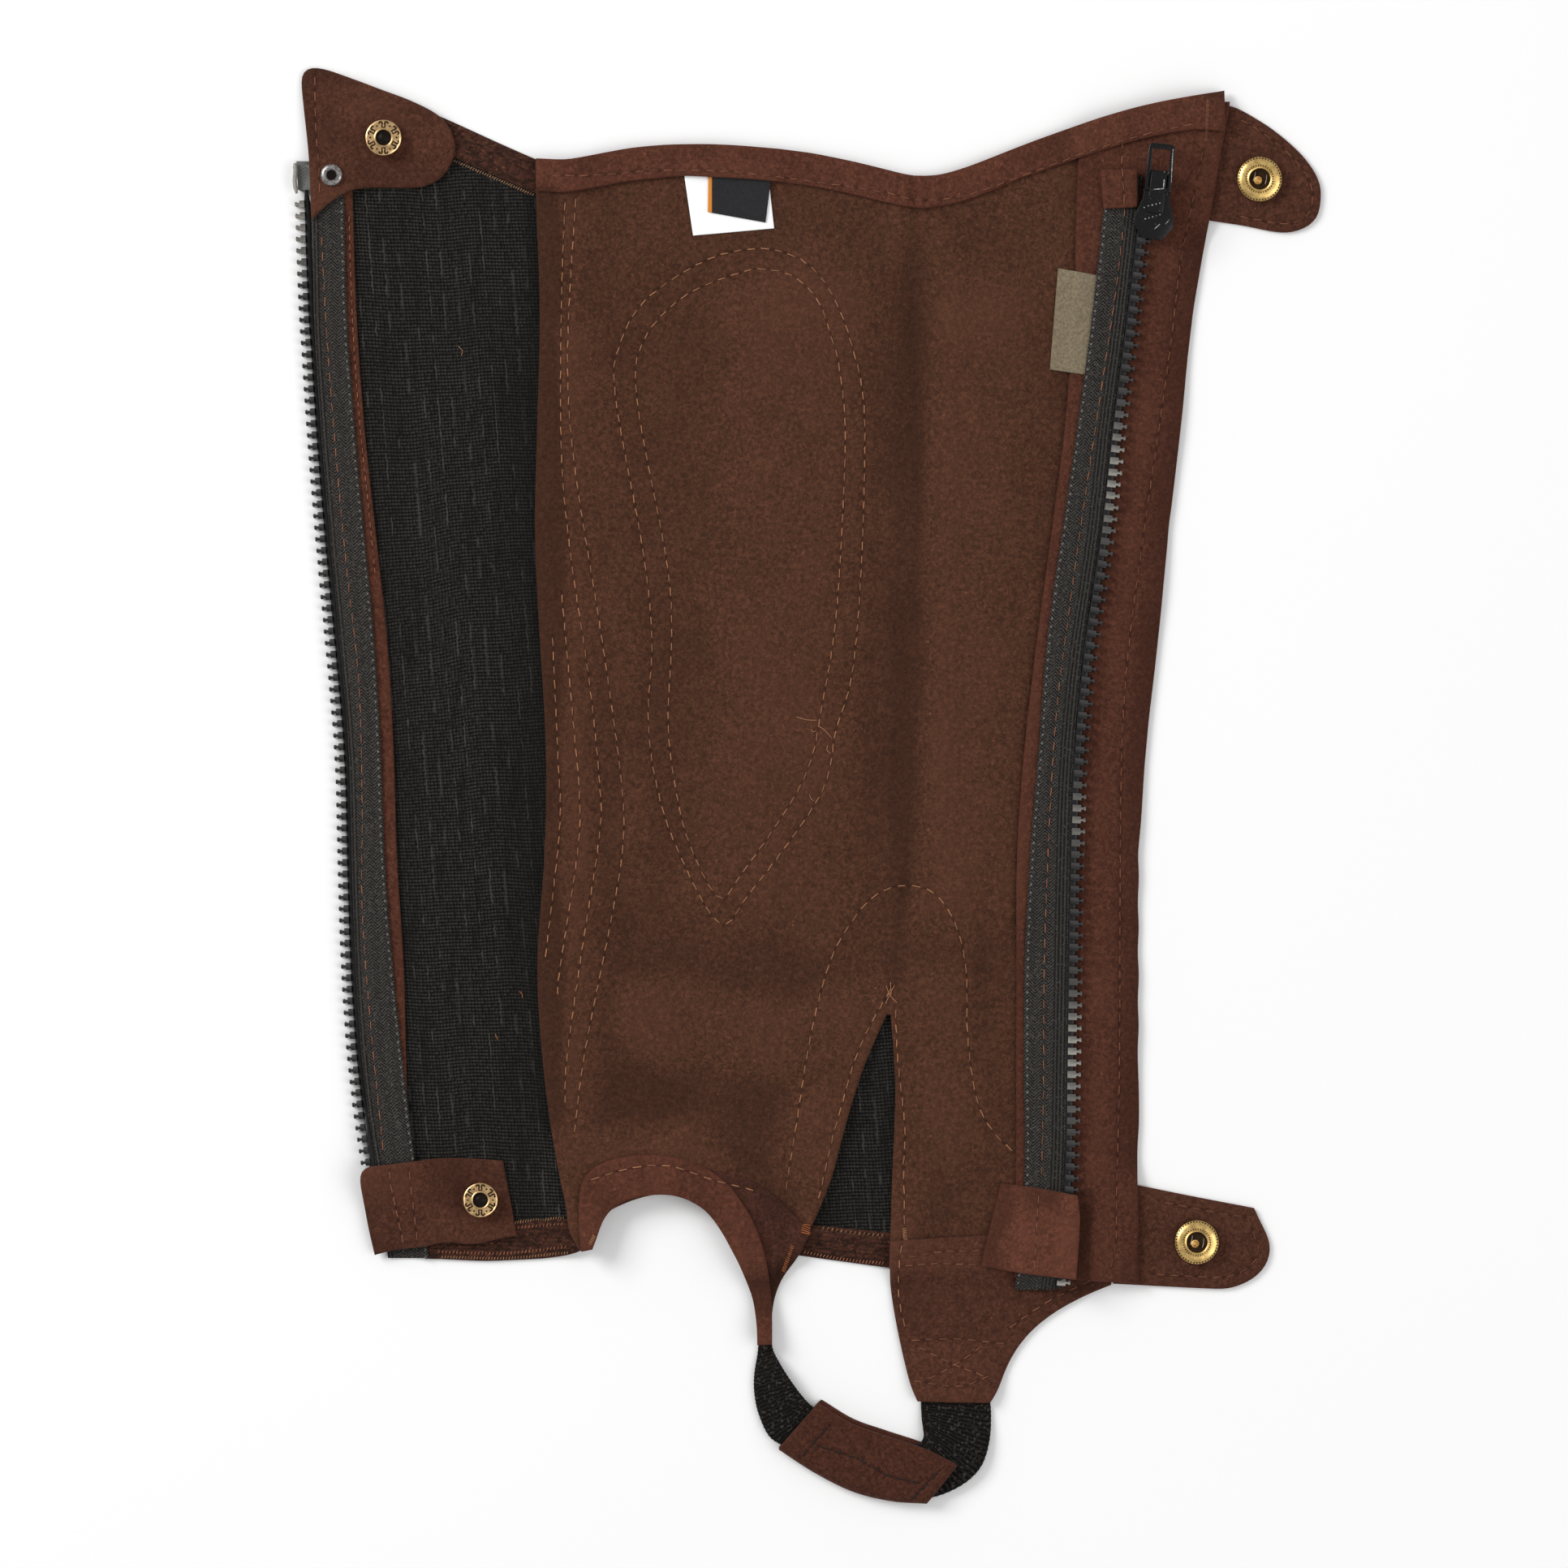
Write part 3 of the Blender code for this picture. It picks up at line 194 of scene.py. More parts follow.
# Sharper creases and shallow troughs in the cloth's top; a negative height is a trough
CREASES = (
    Fold("middle crease, upper", 29, 170, 30.5, 84, 2.2, -0.9),
    Fold("middle crease, lower", 30.5, 84, 27, -28, 2.0, -0.7),
    Fold("middle crease at the gusset", 27, -28, 23, -58, 2.8, -1.0),
    Fold("slope down to the middle crease", 23, 140, 20, -30, 9, -0.4),
    Fold("lift right of the middle crease", 38, 150, 36, -20, 7, 0.9),
    Fold("lift left of the middle crease", 24.5, 160, 21, -30, 5, 0.5),
    Fold("lift beside the left seams", -54, 110, -48, -30, 9, 0.8),
    Fold("pucker under the dip, left", 24, 168, 21, 158, 1.6, -0.4),
    Fold("pucker under the dip, right", 35, 168, 39, 157, 1.7, -0.4),
    Fold("ankle dent, upper", -42, -34, -4, -48, 8, -0.35),
    Fold("heel crease", -56, -70, -40, -84, 3.0, -0.45),
    Fold("arch crease", -30, -96, -12, -106, 2.4, -0.4),
    Fold("left edge valley", -70, 120, -69, 20, 3.0, -0.35),
    Fold("left edge valley, lower", -70, -30, -69, -90, 3.0, -0.35),
    Fold("toe crease", -46, -103, -45, -112, 1.7, -0.5),
    Fold("toe crease, right", -34.5, -103, -35, -112, 1.4, -0.45),
    Fold("shin crease", 58, 60, 53, 10, 2.6, -0.35),
    Fold("shin crease, lower", 50, -20, 47, -70, 3.0, -0.4),
    Fold("heel seam pucker", 44, -84, 50, -96, 2.0, -0.35),
    Fold("calf wrinkle", -34, 60, -24, 20, 3.2, -0.3),
    Fold("flap crease", 77, -100, 79, -110, 1.2, 0.4),
    Fold("patch fold", 75.5, -116, 74.5, -136, 1.2, -0.7),
)

# Crosswise creases of the arch band
BAND_CREASES = (
    Fold("toe", -46, -103, -45.6, -114, 1.5, -0.45),
    Fold("middle", -34.2, -103, -34.6, -114, 1.3, -0.35),
    Fold("heel", -21, -108, -25, -118, 1.6, -0.4),
    Fold("neck", -14, -122, -18, -126, 1.8, -0.35),
)

# Machine sewing: the pieces whose surface it sinks into, its thread, pitch and lane of points
Sewing = namedtuple("Sewing", "pieces thread pitch lane")
MAIN = "main_panel"
SEWN = (
    Sewing(MAIN, "tan", 3.9, [
        (-67.5, 162), (-68.5, 134), (-68.5, 92), (-66, 64), (-61, 30), (-58, 1), (-58, -14), (-63, -47),
        (-67, -76), (-67.5, -89)]),
    Sewing(MAIN, "tan", 3.9, [
        (-64.5, 163), (-66.5, 130), (-66.5, 106), (-64, 82), (-57.5, 41.5), (-52, 1.5), (-51.5, -16.5),
        (-54.5, -36), (-62, -74), (-65, -97)]),
    Sewing(MAIN, "tan", 3.9, [
        (-68.5, 53.5), (-65, 15), (-63.5, -3), (-64, -18.5), (-69, -51.5), (-69.5, -59)]),
    Sewing(MAIN, "tan", 3.9, [(-71, 41.5), (-69.5, 8.5), (-69, -12), (-73, -48.5)]),
    Sewing(MAIN, "tan", 3.8, [
        (0, 143.8), (-4, 146.3), (-13.5, 148.5), (-28, 145.5), (-45, 134.5), (-52.5, 121.5), (-53.5, 107),
        (-46, 65), (-43.5, 40.5), (-44.5, 19), (-42.5, 1.5), (-37, -16.5), (-25, -38), (-16, -29.5),
        (3, -3), (7.5, 15), (12, 31), (14.5, 60), (15.5, 96), (14.5, 111), (12, 121), (9.7, 128.5),
        (6.2, 136), (2.8, 141.1), (0, 143.8)]),
    Sewing(MAIN, "tan", 3.8, [
        (-1, 138.1), (-4.5, 140.8), (-10.5, 142.5), (-18.5, 142), (-35, 135), (-46, 122.5), (-47.5, 106),
        (-39.5, 62.5), (-38, 42), (-39, 17.5), (-37, -0.5), (-33, -16.5), (-25, -31), (-18.5, -24.5),
        (-1.5, 1.5), (4, 24), (7.5, 46.5), (9.5, 78), (10, 100.5), (8.2, 116.5), (6.3, 123.5), (4, 130.8),
        (1.3, 135.6), (-1, 138.1)]),
    Sewing(MAIN + " strap_root", "tan", 4.1, [
        (-6.5, -113), (-3, -91), (-0.5, -75), (2.5, -60.5), (6.5, -47.5), (11.5, -38.5), (18, -31),
        (26, -28), (34.5, -30), (40.5, -38.5), (43.5, -51), (44, -70), (46.5, -87), (51, -96),
        (57, -102)]),
    Sewing(MAIN, "tan", 4.0, [(23, -56), (16.5, -67.5), (12.5, -77), (9, -89), (6.5, -98), (2.5, -115.5)]),
    Sewing(MAIN, "tan", 4.0, [(24, -61.5), (24.5, -74.5), (26.3, -91.5), (26.6, -98), (26.1, -106)]),
    Sewing("main_panel foot_yoke", "tan", 4.0, [
        (26.2, -106), (26.4, -116), (26.3, -124.5), (25.2, -130.5), (24.8, -140), (25.8, -147),
        (27, -151)]),
    Sewing("foot_yoke", "brown", 3.6, [(27, -131), (35.5, -129.5), (48, -129)]),
    Sewing("foot_yoke", "brown", 3.6, [(26, -133.2), (35.5, -132.6), (47, -133)]),
    Sewing("foot_yoke", "brown", 3.8, [(78.5, -137), (67.5, -142.5), (60.5, -147), (55, -151)]),
    Sewing("foot_yoke", "brown", 3.7, [(27.5, -154), (41, -153.6), (55, -155)]),
    Sewing("foot_yoke", "brown", 3.7, [(28.4, -165), (41.5, -166.6), (50.6, -163.5)]),
    Sewing("foot_yoke", "brown", 3.7, [(30, -155.5), (40, -160.5), (49, -164)]),
    Sewing("foot_yoke", "brown", 3.7, [(48.5, -155), (41.5, -160), (32.5, -165)]),
    Sewing("arch_band", "tan", 3.9, [
        (-61, -109.5), (-49, -106), (-38.5, -105.5), (-27.5, -109), (-14.5, -112.5)]),
    Sewing("top_binding", "brown", 3.9, [
        (-72, 168.4), (-57, 168.9), (-44, 170), (-35.7, 170.1), (-20.5, 169.6), (3, 166.8), (21, 164),
        (31, 161.9), (44, 163.4), (60, 169), (78.5, 175.6), (94, 180.2), (107, 183)]),
    Sewing("zip_flap", "flap", 4.0, [
        (109.2, 176), (106.5, 163), (103, 145), (100.5, 124), (97, 99), (92.5, 68), (89, 42), (87, 18),
        (86.3, -12), (86, -80), (85.2, -112), (85, -126), (83.4, -134.4)]),
    Sewing("zip_flap zip_top_patch", "rust", 3.9, [(86.8, 178.5), (86.7, 170), (87.3, 160), (87.2, 156.5)]),
    Sewing("zip_bottom_patch", "rust", 3.4, [
        (63.8, -112.9), (63.3, -117.1), (62.8, -126.7), (62.2, -134.6)]),
    Sewing("tab_bottom_left", "rust", 3.6, [
        (-116, -106.4), (-115.7, -110.5), (-114, -119), (-112.2, -127.6)]),
    Sewing("tab_bottom_left", "rust", 3.9, [(-110.7, -106.2), (-109.7, -115.4), (-108.3, -127)]),
    Sewing("tab_top_left", "brown", 4.1, [
        (-136.9, 197), (-136.6, 182.7), (-136, 174.8), (-135.6, 170.3), (-135.4, 163)]),
    Sewing("zip_strip_left", "rust", 2.6, [
        (-127.4, 158), (-126.8, 138), (-125.8, 118), (-124.2, 98), (-122.1, 78), (-120.1, 58)]),
    Sewing("strap_sleeve", "dark", 4.4, [(5.5, -177.5), (-2.5, -186.5)]),
    Sewing("strap_sleeve", "dark", 3.6, [(2.5, -183), (13, -186.5), (21.5, -191), (31, -193.5)]),
    Sewing("strap_sleeve", "dark", 4.4, [(36, -190), (28, -198.3)]),
    Sewing("zip_tape_left", "rust", 4.2, [
        (-135, 152.5), (-133.5, 125), (-131, 92), (-128, 60), (-124.6, 28), (-123.7, -5), (-123.7, -34),
        (-121.4, -66), (-117.8, -102)]),
    Sewing("zip_tape_right", "rust", 4.2, [
        (87, 154), (85, 137), (81, 110), (76.5, 80), (72, 48), (68.5, 20), (66.5, -12), (65.2, -48),
        (64.9, -84), (64.4, -109)]),
)

# Rows that run beside an edge of a piece: how far inside it, and the box that they keep to
EdgeRow = namedtuple("EdgeRow", "piece thread pitch inset low_x high_x low_y high_y")
EDGE_ROWS = (
    EdgeRow("tab_top_right", "flap", 3.8, 2.4, 117.5, 150, 140, 190),
    EdgeRow("tab_bottom_right", "flap", 3.8, 3.2, 94.5, 150, -141, -108),
)

# Short dense bars of zigzag that lock the ends of seams
Bartack = namedtuple("Bartack", "x0 y0 x1 y1 width thread")
BARTACKS = (
    Bartack(110.4, 189.6, 110.0, 178.2, 0.8, "brown"),
    Bartack(-0.6, -121.6, -1.0, -124.4, 2.6, "orange"),
    Bartack(-4.5, -127.5, -7.2, -135, 1.0, "orange"),
    Bartack(-59.3, -124.6, -60.6, -127.2, 1.0, "tan"),
    Bartack(26.4, -122.6, 26.8, -126.2, 1.2, "tan"),
)

# Overlocked edges of the elastics: a row of short stitches across the edge
Overlock = namedtuple("Overlock", "thread pitch length lane")
OVERLOCKS = (
    Overlock("gold", 0.72, 0.95, [(-98.6, 173.0), (-88, 168.4), (-76.2, 163.3)]),
    Overlock("gold", 0.72, 0.95, [(-81.6, -121.2), (-67.6, -119.9)]),
    Overlock("rust", 1.0, 0.7, [(-81, -122.7), (-68, -121.6)]),
    Overlock("rust", 1.0, 0.8, [(-103, -129.4), (-84, -129.8), (-67, -128.0)]),
    Overlock("gold", 0.8, 0.7, [(-102, -130.8), (-84, -131.2), (-66.5, -129.6)]),
    Overlock("gold", 1.3, 0.9, [(3.4, -122.6), (12, -124.0), (21, -124.9)]),
    Overlock("rust", 0.9, 0.9, [(-1.6, -129.4), (10, -131.6), (21, -132.6)]),
)

# Loose ends of thread that lie on the cloth, each with its points
LOOSE_THREADS = (
    ("tan", [(-3.5, 18.8), (-0.8, 18.0), (2.1, 17.8)]),
    ("tan", [(2.5, 16.3), (4.2, 15.2), (6.4, 12.8)]),
    ("tan", [(0.6, 15.4), (1.2, 14.6), (2.0, 14.9)]),
    ("tan", [(5.2, 11.0), (5.0, 9.6), (6.1, 8.5)]),
    ("tan", [(0.2, -2.7), (0.6, -3.9), (1.5, -4.5)]),
    ("tan", [(21.4, -55.6), (22.4, -58.2), (24.4, -60.4)]),
    ("tan", [(23.8, -55.4), (22.4, -58.0), (21.2, -60.8)]),
    ("tan", [(22.6, -54.6), (22.8, -58.4)]),
    ("gold", [(-97.2, 121.6), (-96.0, 120.2), (-96.3, 118.9)]),
    ("orange", [(-86.9, -69.1), (-86.2, -70.6)]),
    ("orange", [(-80.4, -57.2), (-79.5, -57.9), (-79.4, -59.1)]),
)
# Threads: radius, and colour as it shows on a screen, which the user gives for the tan one
Thread = namedtuple("Thread", "radius colour")
THREADS = {
    "tan": Thread(0.16, None),
    "rust": Thread(0.14, (150, 94, 66)),
    "brown": Thread(0.17, (130, 80, 55)),
    "flap": Thread(0.16, (122, 72, 46)),
    "dark": Thread(0.2, (26, 16, 13)),
    "gold": Thread(0.12, (158, 116, 80)),
    "orange": Thread(0.16, (178, 100, 48)),
}
VISIBLE_SHARE = 0.6
LOOSE_RADIUS = 0.11
LOOSE_LIFT = 0.12
BARTACK_PITCH = 0.55

# How stitches lie: rise of the thread, turn against the lane, and how far they sink into the cloth
Lie = namedtuple("Lie", "rise turn sink")
IN_LINE = Lie(0.28, 0.0, 0.06)
ACROSS_EDGE = Lie(0.2, 1.15, -0.12)
ZIGZAG = Lie(0.15, 1.4, -0.05)

# Under-foot strap: inner and outer edge with their heights, from the neck round to the yoke
STRAP_MIDDLE = 2.2
STRAP_ROWS = (
    ((-10.8, -150.8, 0.7), (-13.4, -150.8, 0.7)),
    ((-10.4, -156.2, 1.4), (-13.8, -156.9, 0.7)),
    ((-8.2, -160.6, 3.6), (-14.8, -163.1, 0.9)),
    ((-5.4, -165.0, 4.4), (-14.8, -168.4, 1.0)),
    ((-2.2, -169.4, 3.6), (-13.6, -174.2, 1.3)),
    ((0.6, -172.4, 2.3), (-10.6, -180.4, 2.0)),
    ((4.4, -174.6, STRAP_MIDDLE), (-5.6, -183.6, STRAP_MIDDLE)),
    ((11.0, -177.3, STRAP_MIDDLE), (2.6, -189.0, STRAP_MIDDLE)),
    ((20.4, -180.6, STRAP_MIDDLE), (13.2, -194.2, STRAP_MIDDLE)),
    ((29.2, -182.9, STRAP_MIDDLE), (23.2, -196.8, STRAP_MIDDLE)),
    ((31.2, -182.2, STRAP_MIDDLE), (32.4, -197.4, STRAP_MIDDLE)),
    ((32.0, -180.6, STRAP_MIDDLE), (41.0, -194.4, STRAP_MIDDLE)),
    ((31.9, -178.6, STRAP_MIDDLE), (46.9, -189.4, STRAP_MIDDLE)),
    ((31.6, -175.8, 1.8), (49.5, -182.6, 1.8)),
    ((31.4, -171.5, 1.0), (50.1, -174.5, 1.0)),
    ((31.4, -166.0, 0.7), (49.4, -166.5, 0.7)),
    ((31.4, -158.0, 0.7), (49.0, -158.0, 0.7)),
)
SLEEVE_OPEN_EDGE = [(3.4, -170.8), (12, -176), (21.5, -179.4), (32.2, -183), (41.2, -187.7)]
SLEEVE_FOLD_EDGE = [(-8.4, -184.2), (1.5, -190.6), (12, -195.8), (22.5, -198.4), (32.3, -199.1)]
SLEEVE_LIP = 0.075
SLEEVE_GROOVE = 0.35
STRAP_PARTS = 40
SLEEVE_PARTS = 26
STRAP_COLUMNS = 17
STRAP_STEP = 0.25
STRAP_RIB = 0.16

# Snap hardware: place and outer radius
SnapPlace = namedtuple("SnapPlace", "name x y radius")
STUD_BACKS = (SnapPlace("top", -117.7, 179.0, 5.05), SnapPlace("bottom", -90.9, -114.9, 4.85))
SOCKETS = (SnapPlace("top", 124.8, 167.7, 6.15), SnapPlace("bottom", 107.4, -126.7, 6.05))

# Camera: the photograph's frame, seen from straight above
VIEW_CENTRE = (-6.9, 0.2)
VIEW_WIDTH = 434.7
VIEW_HEIGHT = 3000.0
SENSOR = 36.0


def from_screen(red, green, blue):
    """Linear colour of a colour given as it shows on a screen, from 0 to 255."""
    return tuple(round(((v / 255 + 0.055) / 1.055) ** 2.4, 4) for v in (red, green, blue))


def colour_property(name, description, red, green, blue):
    """A colour that a user may change."""
    return bpy.props.FloatVectorProperty(name=name, description=description, subtype="COLOR", size=3,
                                         min=0.0, max=1.0, default=from_screen(red, green, blue))


def length_property(name, description, millimetres):
    """A small length that a user may change."""
    return bpy.props.FloatProperty(name=name, description=description, unit="LENGTH", subtype="DISTANCE",
                                   min=0.0, precision=5, default=millimetres * MM)


# Suedes: the user's colour, its tone and how napped it is
SuedeLook = namedtuple("SuedeLook", "colour tone nap")
SUEDES = {
    "tab_suede": SuedeLook("tab", 1.0, 1.0),
    "left_tab_suede": SuedeLook("tab", 1.04, 1.0),
    "yoke_suede": SuedeLook("tab", 1.1, 1.0),
    "main_suede": SuedeLook("suede", 1.0, 1.0),
    "root_suede": SuedeLook("root", 1.0, 1.0),
    "band_suede": SuedeLook("binding", 1.0, 0.8),
    "flap_suede": SuedeLook("binding", 0.86, 0.9),
    "strip_suede": SuedeLook("binding", 0.9, 1.0),
    "patch_suede": SuedeLook("binding", 1.15, 0.9),
    "upper_patch_suede": SuedeLook("binding", 0.95, 0.9),
    "binding_suede": SuedeLook("binding", 1.0, 0.9),
    "sleeve_suede": SuedeLook("binding", 0.66, 1.0),
}


class HalfChapColours(bpy.types.PropertyGroup):
    """Colours of the cloths, threads and metals."""
    suede: colour_property("Suede", "Flesh side of the main suede", 73, 45, 32)
    binding: colour_property("Binding suede", "Smoother suede of the flap, binding and arch band", 81, 47, 35)
    tab: colour_property("Tab suede", "Suede of the snap tabs and the yoke", 71, 42, 31)
    root: colour_property("Strap suede", "Darker suede where the strap starts", 63, 37, 28)
    knit: colour_property("Rib knit", "Stretch panel and gusset", 29, 28, 26)
    elastic: colour_property("Woven elastic", "Brown elastic at the knit's edges", 66, 38, 27)
    strap: colour_property("Strap elastic", "Under-foot elastic", 20, 18, 16)
    tape: colour_property("Zip tape", "Woven tape of the zip", 47, 44, 41)
    teeth: colour_property("Zip teeth", "Moulded teeth", 25, 24, 24)
    thread: colour_property("Tan thread", "Top stitching", 166, 114, 80)
    brass: colour_property("Brass", "Backs of the studs", 240, 200, 146)
    socket: colour_property("Golden brass", "Snap sockets", 250, 210, 134)
    gunmetal: colour_property("Gunmetal", "Eyelet", 164, 160, 158)
    label: colour_property("Side label", "Woven side label", 122, 110, 89)


class HalfChapSizes(bpy.types.PropertyGroup):
    """Sizes of the sewing, knit and zip."""
    rib_pitch: length_property("Rib pitch", "Distance between the ribs of the knit", 0.96)
    rib_height: length_property("Rib height", "Height of a rib of the knit", 0.24)
    strap_rib_pitch: length_property("Strap rib pitch", "Distance between the strap elastic's ribs", 1.0)
    tooth_pitch: length_property("Tooth pitch", "Distance between the zip's teeth", 3.2)
    groove_depth: length_property("Groove depth", "How far the sewing pulls the suede down", GROOVE_DEPTH)


class HalfChapStage(bpy.types.PropertyGroup):
    """Floor and light."""
    floor: colour_property("Floor", "Plain pale floor", 250, 250, 250)
    key: bpy.props.FloatProperty(name="Key light", description="Power of the key light", unit="POWER",
                                 default=31.0)
    fill: bpy.props.FloatProperty(name="Fill light", description="Power of the fill light", unit="POWER",
                                  default=15.0)
    ambient: bpy.props.FloatProperty(name="Ambient", description="Strength of the even light", default=0.475)


def colours():
    """The user's colours."""
    return bpy.context.scene.half_chap_colours


def sizes():
    """The user's sizes."""
    return bpy.context.scene.half_chap_sizes


def catmull_rom(before, start, end, after, share):
    """Point on the curved span from start to end, which its two outer neighbours shape."""
    square = share * share
    cube = square * share
    return tuple(0.5 * (2 * b + (c - a) * share + (2 * a - 5 * b + 4 * c - d) * square
                        + (3 * b - a - 3 * c + d) * cube)
                 for a, b, c, d in zip(before, start, end, after))


def smooth_line(points, step=1.0, parts=None):
    """Points on a smooth line through all the given ones, about a step apart or so many parts to a span."""
    first = tuple(2 * a - b for a, b in zip(points[0], points[1]))
    last = tuple(2 * a - b for a, b in zip(points[-1], points[-2]))
    padded = [first, *points, last]
    line = []
    for index in range(1, len(padded) - 2):
        span = padded[index - 1:index + 3]
        count = parts or max(1, round(math.dist(span[1], span[2]) / step))
        line += [catmull_rom(*span, part / count) for part in range(count)]
    return [*line, tuple(points[-1])]


def turn_at(before, here, after):
    """Angle by which a line turns at a point."""
    first = math.atan2(here[1] - before[1], here[0] - before[0])
    second = math.atan2(after[1] - here[1], after[0] - here[0])
    return abs(math.remainder(second - first, 2 * math.pi))


def smooth_loop(points, step):
    """A closed outline at an even step, softened apart from its sharp corners."""
    count = len(points)
    after = points[1:] + points[:1]
    sharp = [i for i in range(count) if turn_at(points[i - 1], points[i], after[i]) > SHARP_BEND]
    first = sharp[0] if sharp else 0
    ring = [points[(first + i) % count] for i in range(count + 1)]
    cuts = [(i - first) % count for i in sharp or [0]] + [count]
    loop = []
    for start, end in zip(cuts, cuts[1:]):
        line = np.array(ring[start:end + 1])
        run = np.concatenate([[0.0], np.cumsum(np.linalg.norm(np.diff(line, axis=0), axis=1))])
        even = np.linspace(0, run[-1], max(2, round(run[-1] / step)) + 1)
        line = np.column_stack([np.interp(even, run, line[:, k]) for k in (0, 1)])
        for _ in range(SOFTENING):
            ends = line[[0, -1]] if sharp else np.tile((line[-2] + 2 * line[0] + line[1]) / 4, (2, 1))
            line = np.concatenate([ends[:1], (line[:-2] + 2 * line[1:-1] + line[2:]) / 4, ends[1:]])
        loop += [tuple(place) for place in line[:-1].tolist()]
    return loop


def rim(name):
    """Outline of a node's upper side, anticlockwise, in millimetres."""
    shape = bmesh.new()
    shape.from_mesh(NODES[name].data)
    bmesh.ops.remove_doubles(shape, verts=shape.verts, dist=WELD)
    shape.normal_update()
    upper = {face for face in shape.faces if face.normal.z > 0.2}
    links = {}
    for edge in shape.edges:
        if len(set(edge.link_faces) & upper) == 1:
            for vertex in edge.verts:
                links.setdefault(vertex, []).append(edge.other_vert(vertex))
    loops = []
    while links:
        start = next(iter(links))
        loop = [start]
        while True:
            onward = [v for v in links.pop(loop[-1]) if v in links]
            if not onward:
                break
            loop.append(onward[0])
        loops.append(loop)
    longest = max(loops, key=len)
    points = [(v.co.x / MM, v.co.y / MM) for v in longest]
    shape.free()
    return points if signed_area(points) > 0 else points[::-1]


def outline_of(name):
    """Outline of a piece of cloth."""
    outline = smooth_loop(DRAWN.get(name) or rim(name), OUTLINE_STEP)
    for end in REACHES:
        if end.piece == name:
            outline = [(x + end.move if x < end.high_x and y > end.low_y else x, y) for x, y in outline]
    return outline


def signed_area(points):
    """Area inside a closed outline, positive when it runs anticlockwise."""
    return 0.5 * sum(a[0] * b[1] - b[0] * a[1] for a, b in zip(points, points[1:] + points[:1]))


def inset(points, depth):
    """A closed outline moved inwards."""
    moved = []
    for i, (x, y) in enumerate(points):
        before = points[i - 1]
        after = points[(i + 1) % len(points)]
        normal = Vector((0.0, 0.0))
        for a, b in ((before, (x, y)), ((x, y), after)):
            edge = Vector((b[1] - a[1], a[0] - b[0]))
            if edge.length > 0:
                normal += edge.normalized()
        normal = normal * (2.0 / max(normal.length_squared, 1.6))
        moved.append((x - normal.x * depth, y - normal.y * depth))
    return moved


def cut_size(outline):
    """Width and length of the smallest sheet that a piece is cut from, and the piece's area."""
    area = signed_area(outline)
    points = np.array(outline)
    best = None
    for degrees in range(0, 90, 3):
        turn = math.radians(degrees)
        across = np.ptp(points @ np.array([math.cos(turn), math.sin(turn)]))
        along = np.ptp(points @ np.array([-math.sin(turn), math.cos(turn)]))
        if best is None or across * along < best[0] * best[1]:
            best = sorted((float(across), float(along)))
    if area < LEAST_FILL * best[0] * best[1]:
        # A curved strip is cut from a straight one with the same area and edge
        half = sum(math.dist(a, b) for a, b in zip(outline, outline[1:] + outline[:1])) / 2
        length = (half + math.sqrt(max(half * half - 4 * area, 0.0))) / 2
        best = (area / length, length)
        # A touch less, so that rounding can't make the area more than the strip's
        area *= 0.999
    return max(best[0], NARROWEST_CUT), best[1], area


def waves(x, y):
    """Shallow unevenness of limp cloth, never negative."""
    height = 0.2 * np.sin(x / 11 + 1.3 * np.sin(y / 17)) + 0.16 * np.sin(y / 9 - x / 23 + 0.7)
    height += 0.1 * np.sin(x / 5.2 + y / 7.3) + 0.08 * np.sin(x / 3.9 - y / 4.7 + 2.0 * np.sin(y / 21))
    return height + 0.4


def ridge(fold, x, y):
    """Share of a fold's height at each point of two arrays, from 0 to 1."""
    run = np.array([fold.x1 - fold.x0, fold.y1 - fold.y0], dtype=float)
    along = ((x - fold.x0) * run[0] + (y - fold.y0) * run[1]) / (run @ run)
    along = np.clip(along, 0, 1)
    away = np.hypot(x - fold.x0 - along * run[0], y - fold.y0 - along * run[1])
    ripple = 0.85 + 0.15 * np.cos(2.6 * math.pi * along)
    return ripple * 0.5 * (1 + np.cos(math.pi * np.clip(away / fold.half_width, 0, 1)))


def box_mean(field, cells):
    """Mean over a square window, by running sums."""
    for axis in (0, 1):
        padded = np.concatenate([np.zeros_like(np.take(field, [0], axis)), np.cumsum(field, axis)], axis)
        length = field.shape[axis]
        high = np.minimum(np.arange(length) + cells + 1, length)
        low = np.maximum(np.arange(length) - cells, 0)
        field = (np.take(padded, high, axis) - np.take(padded, low, axis)) / (2 * cells + 1)
    return field


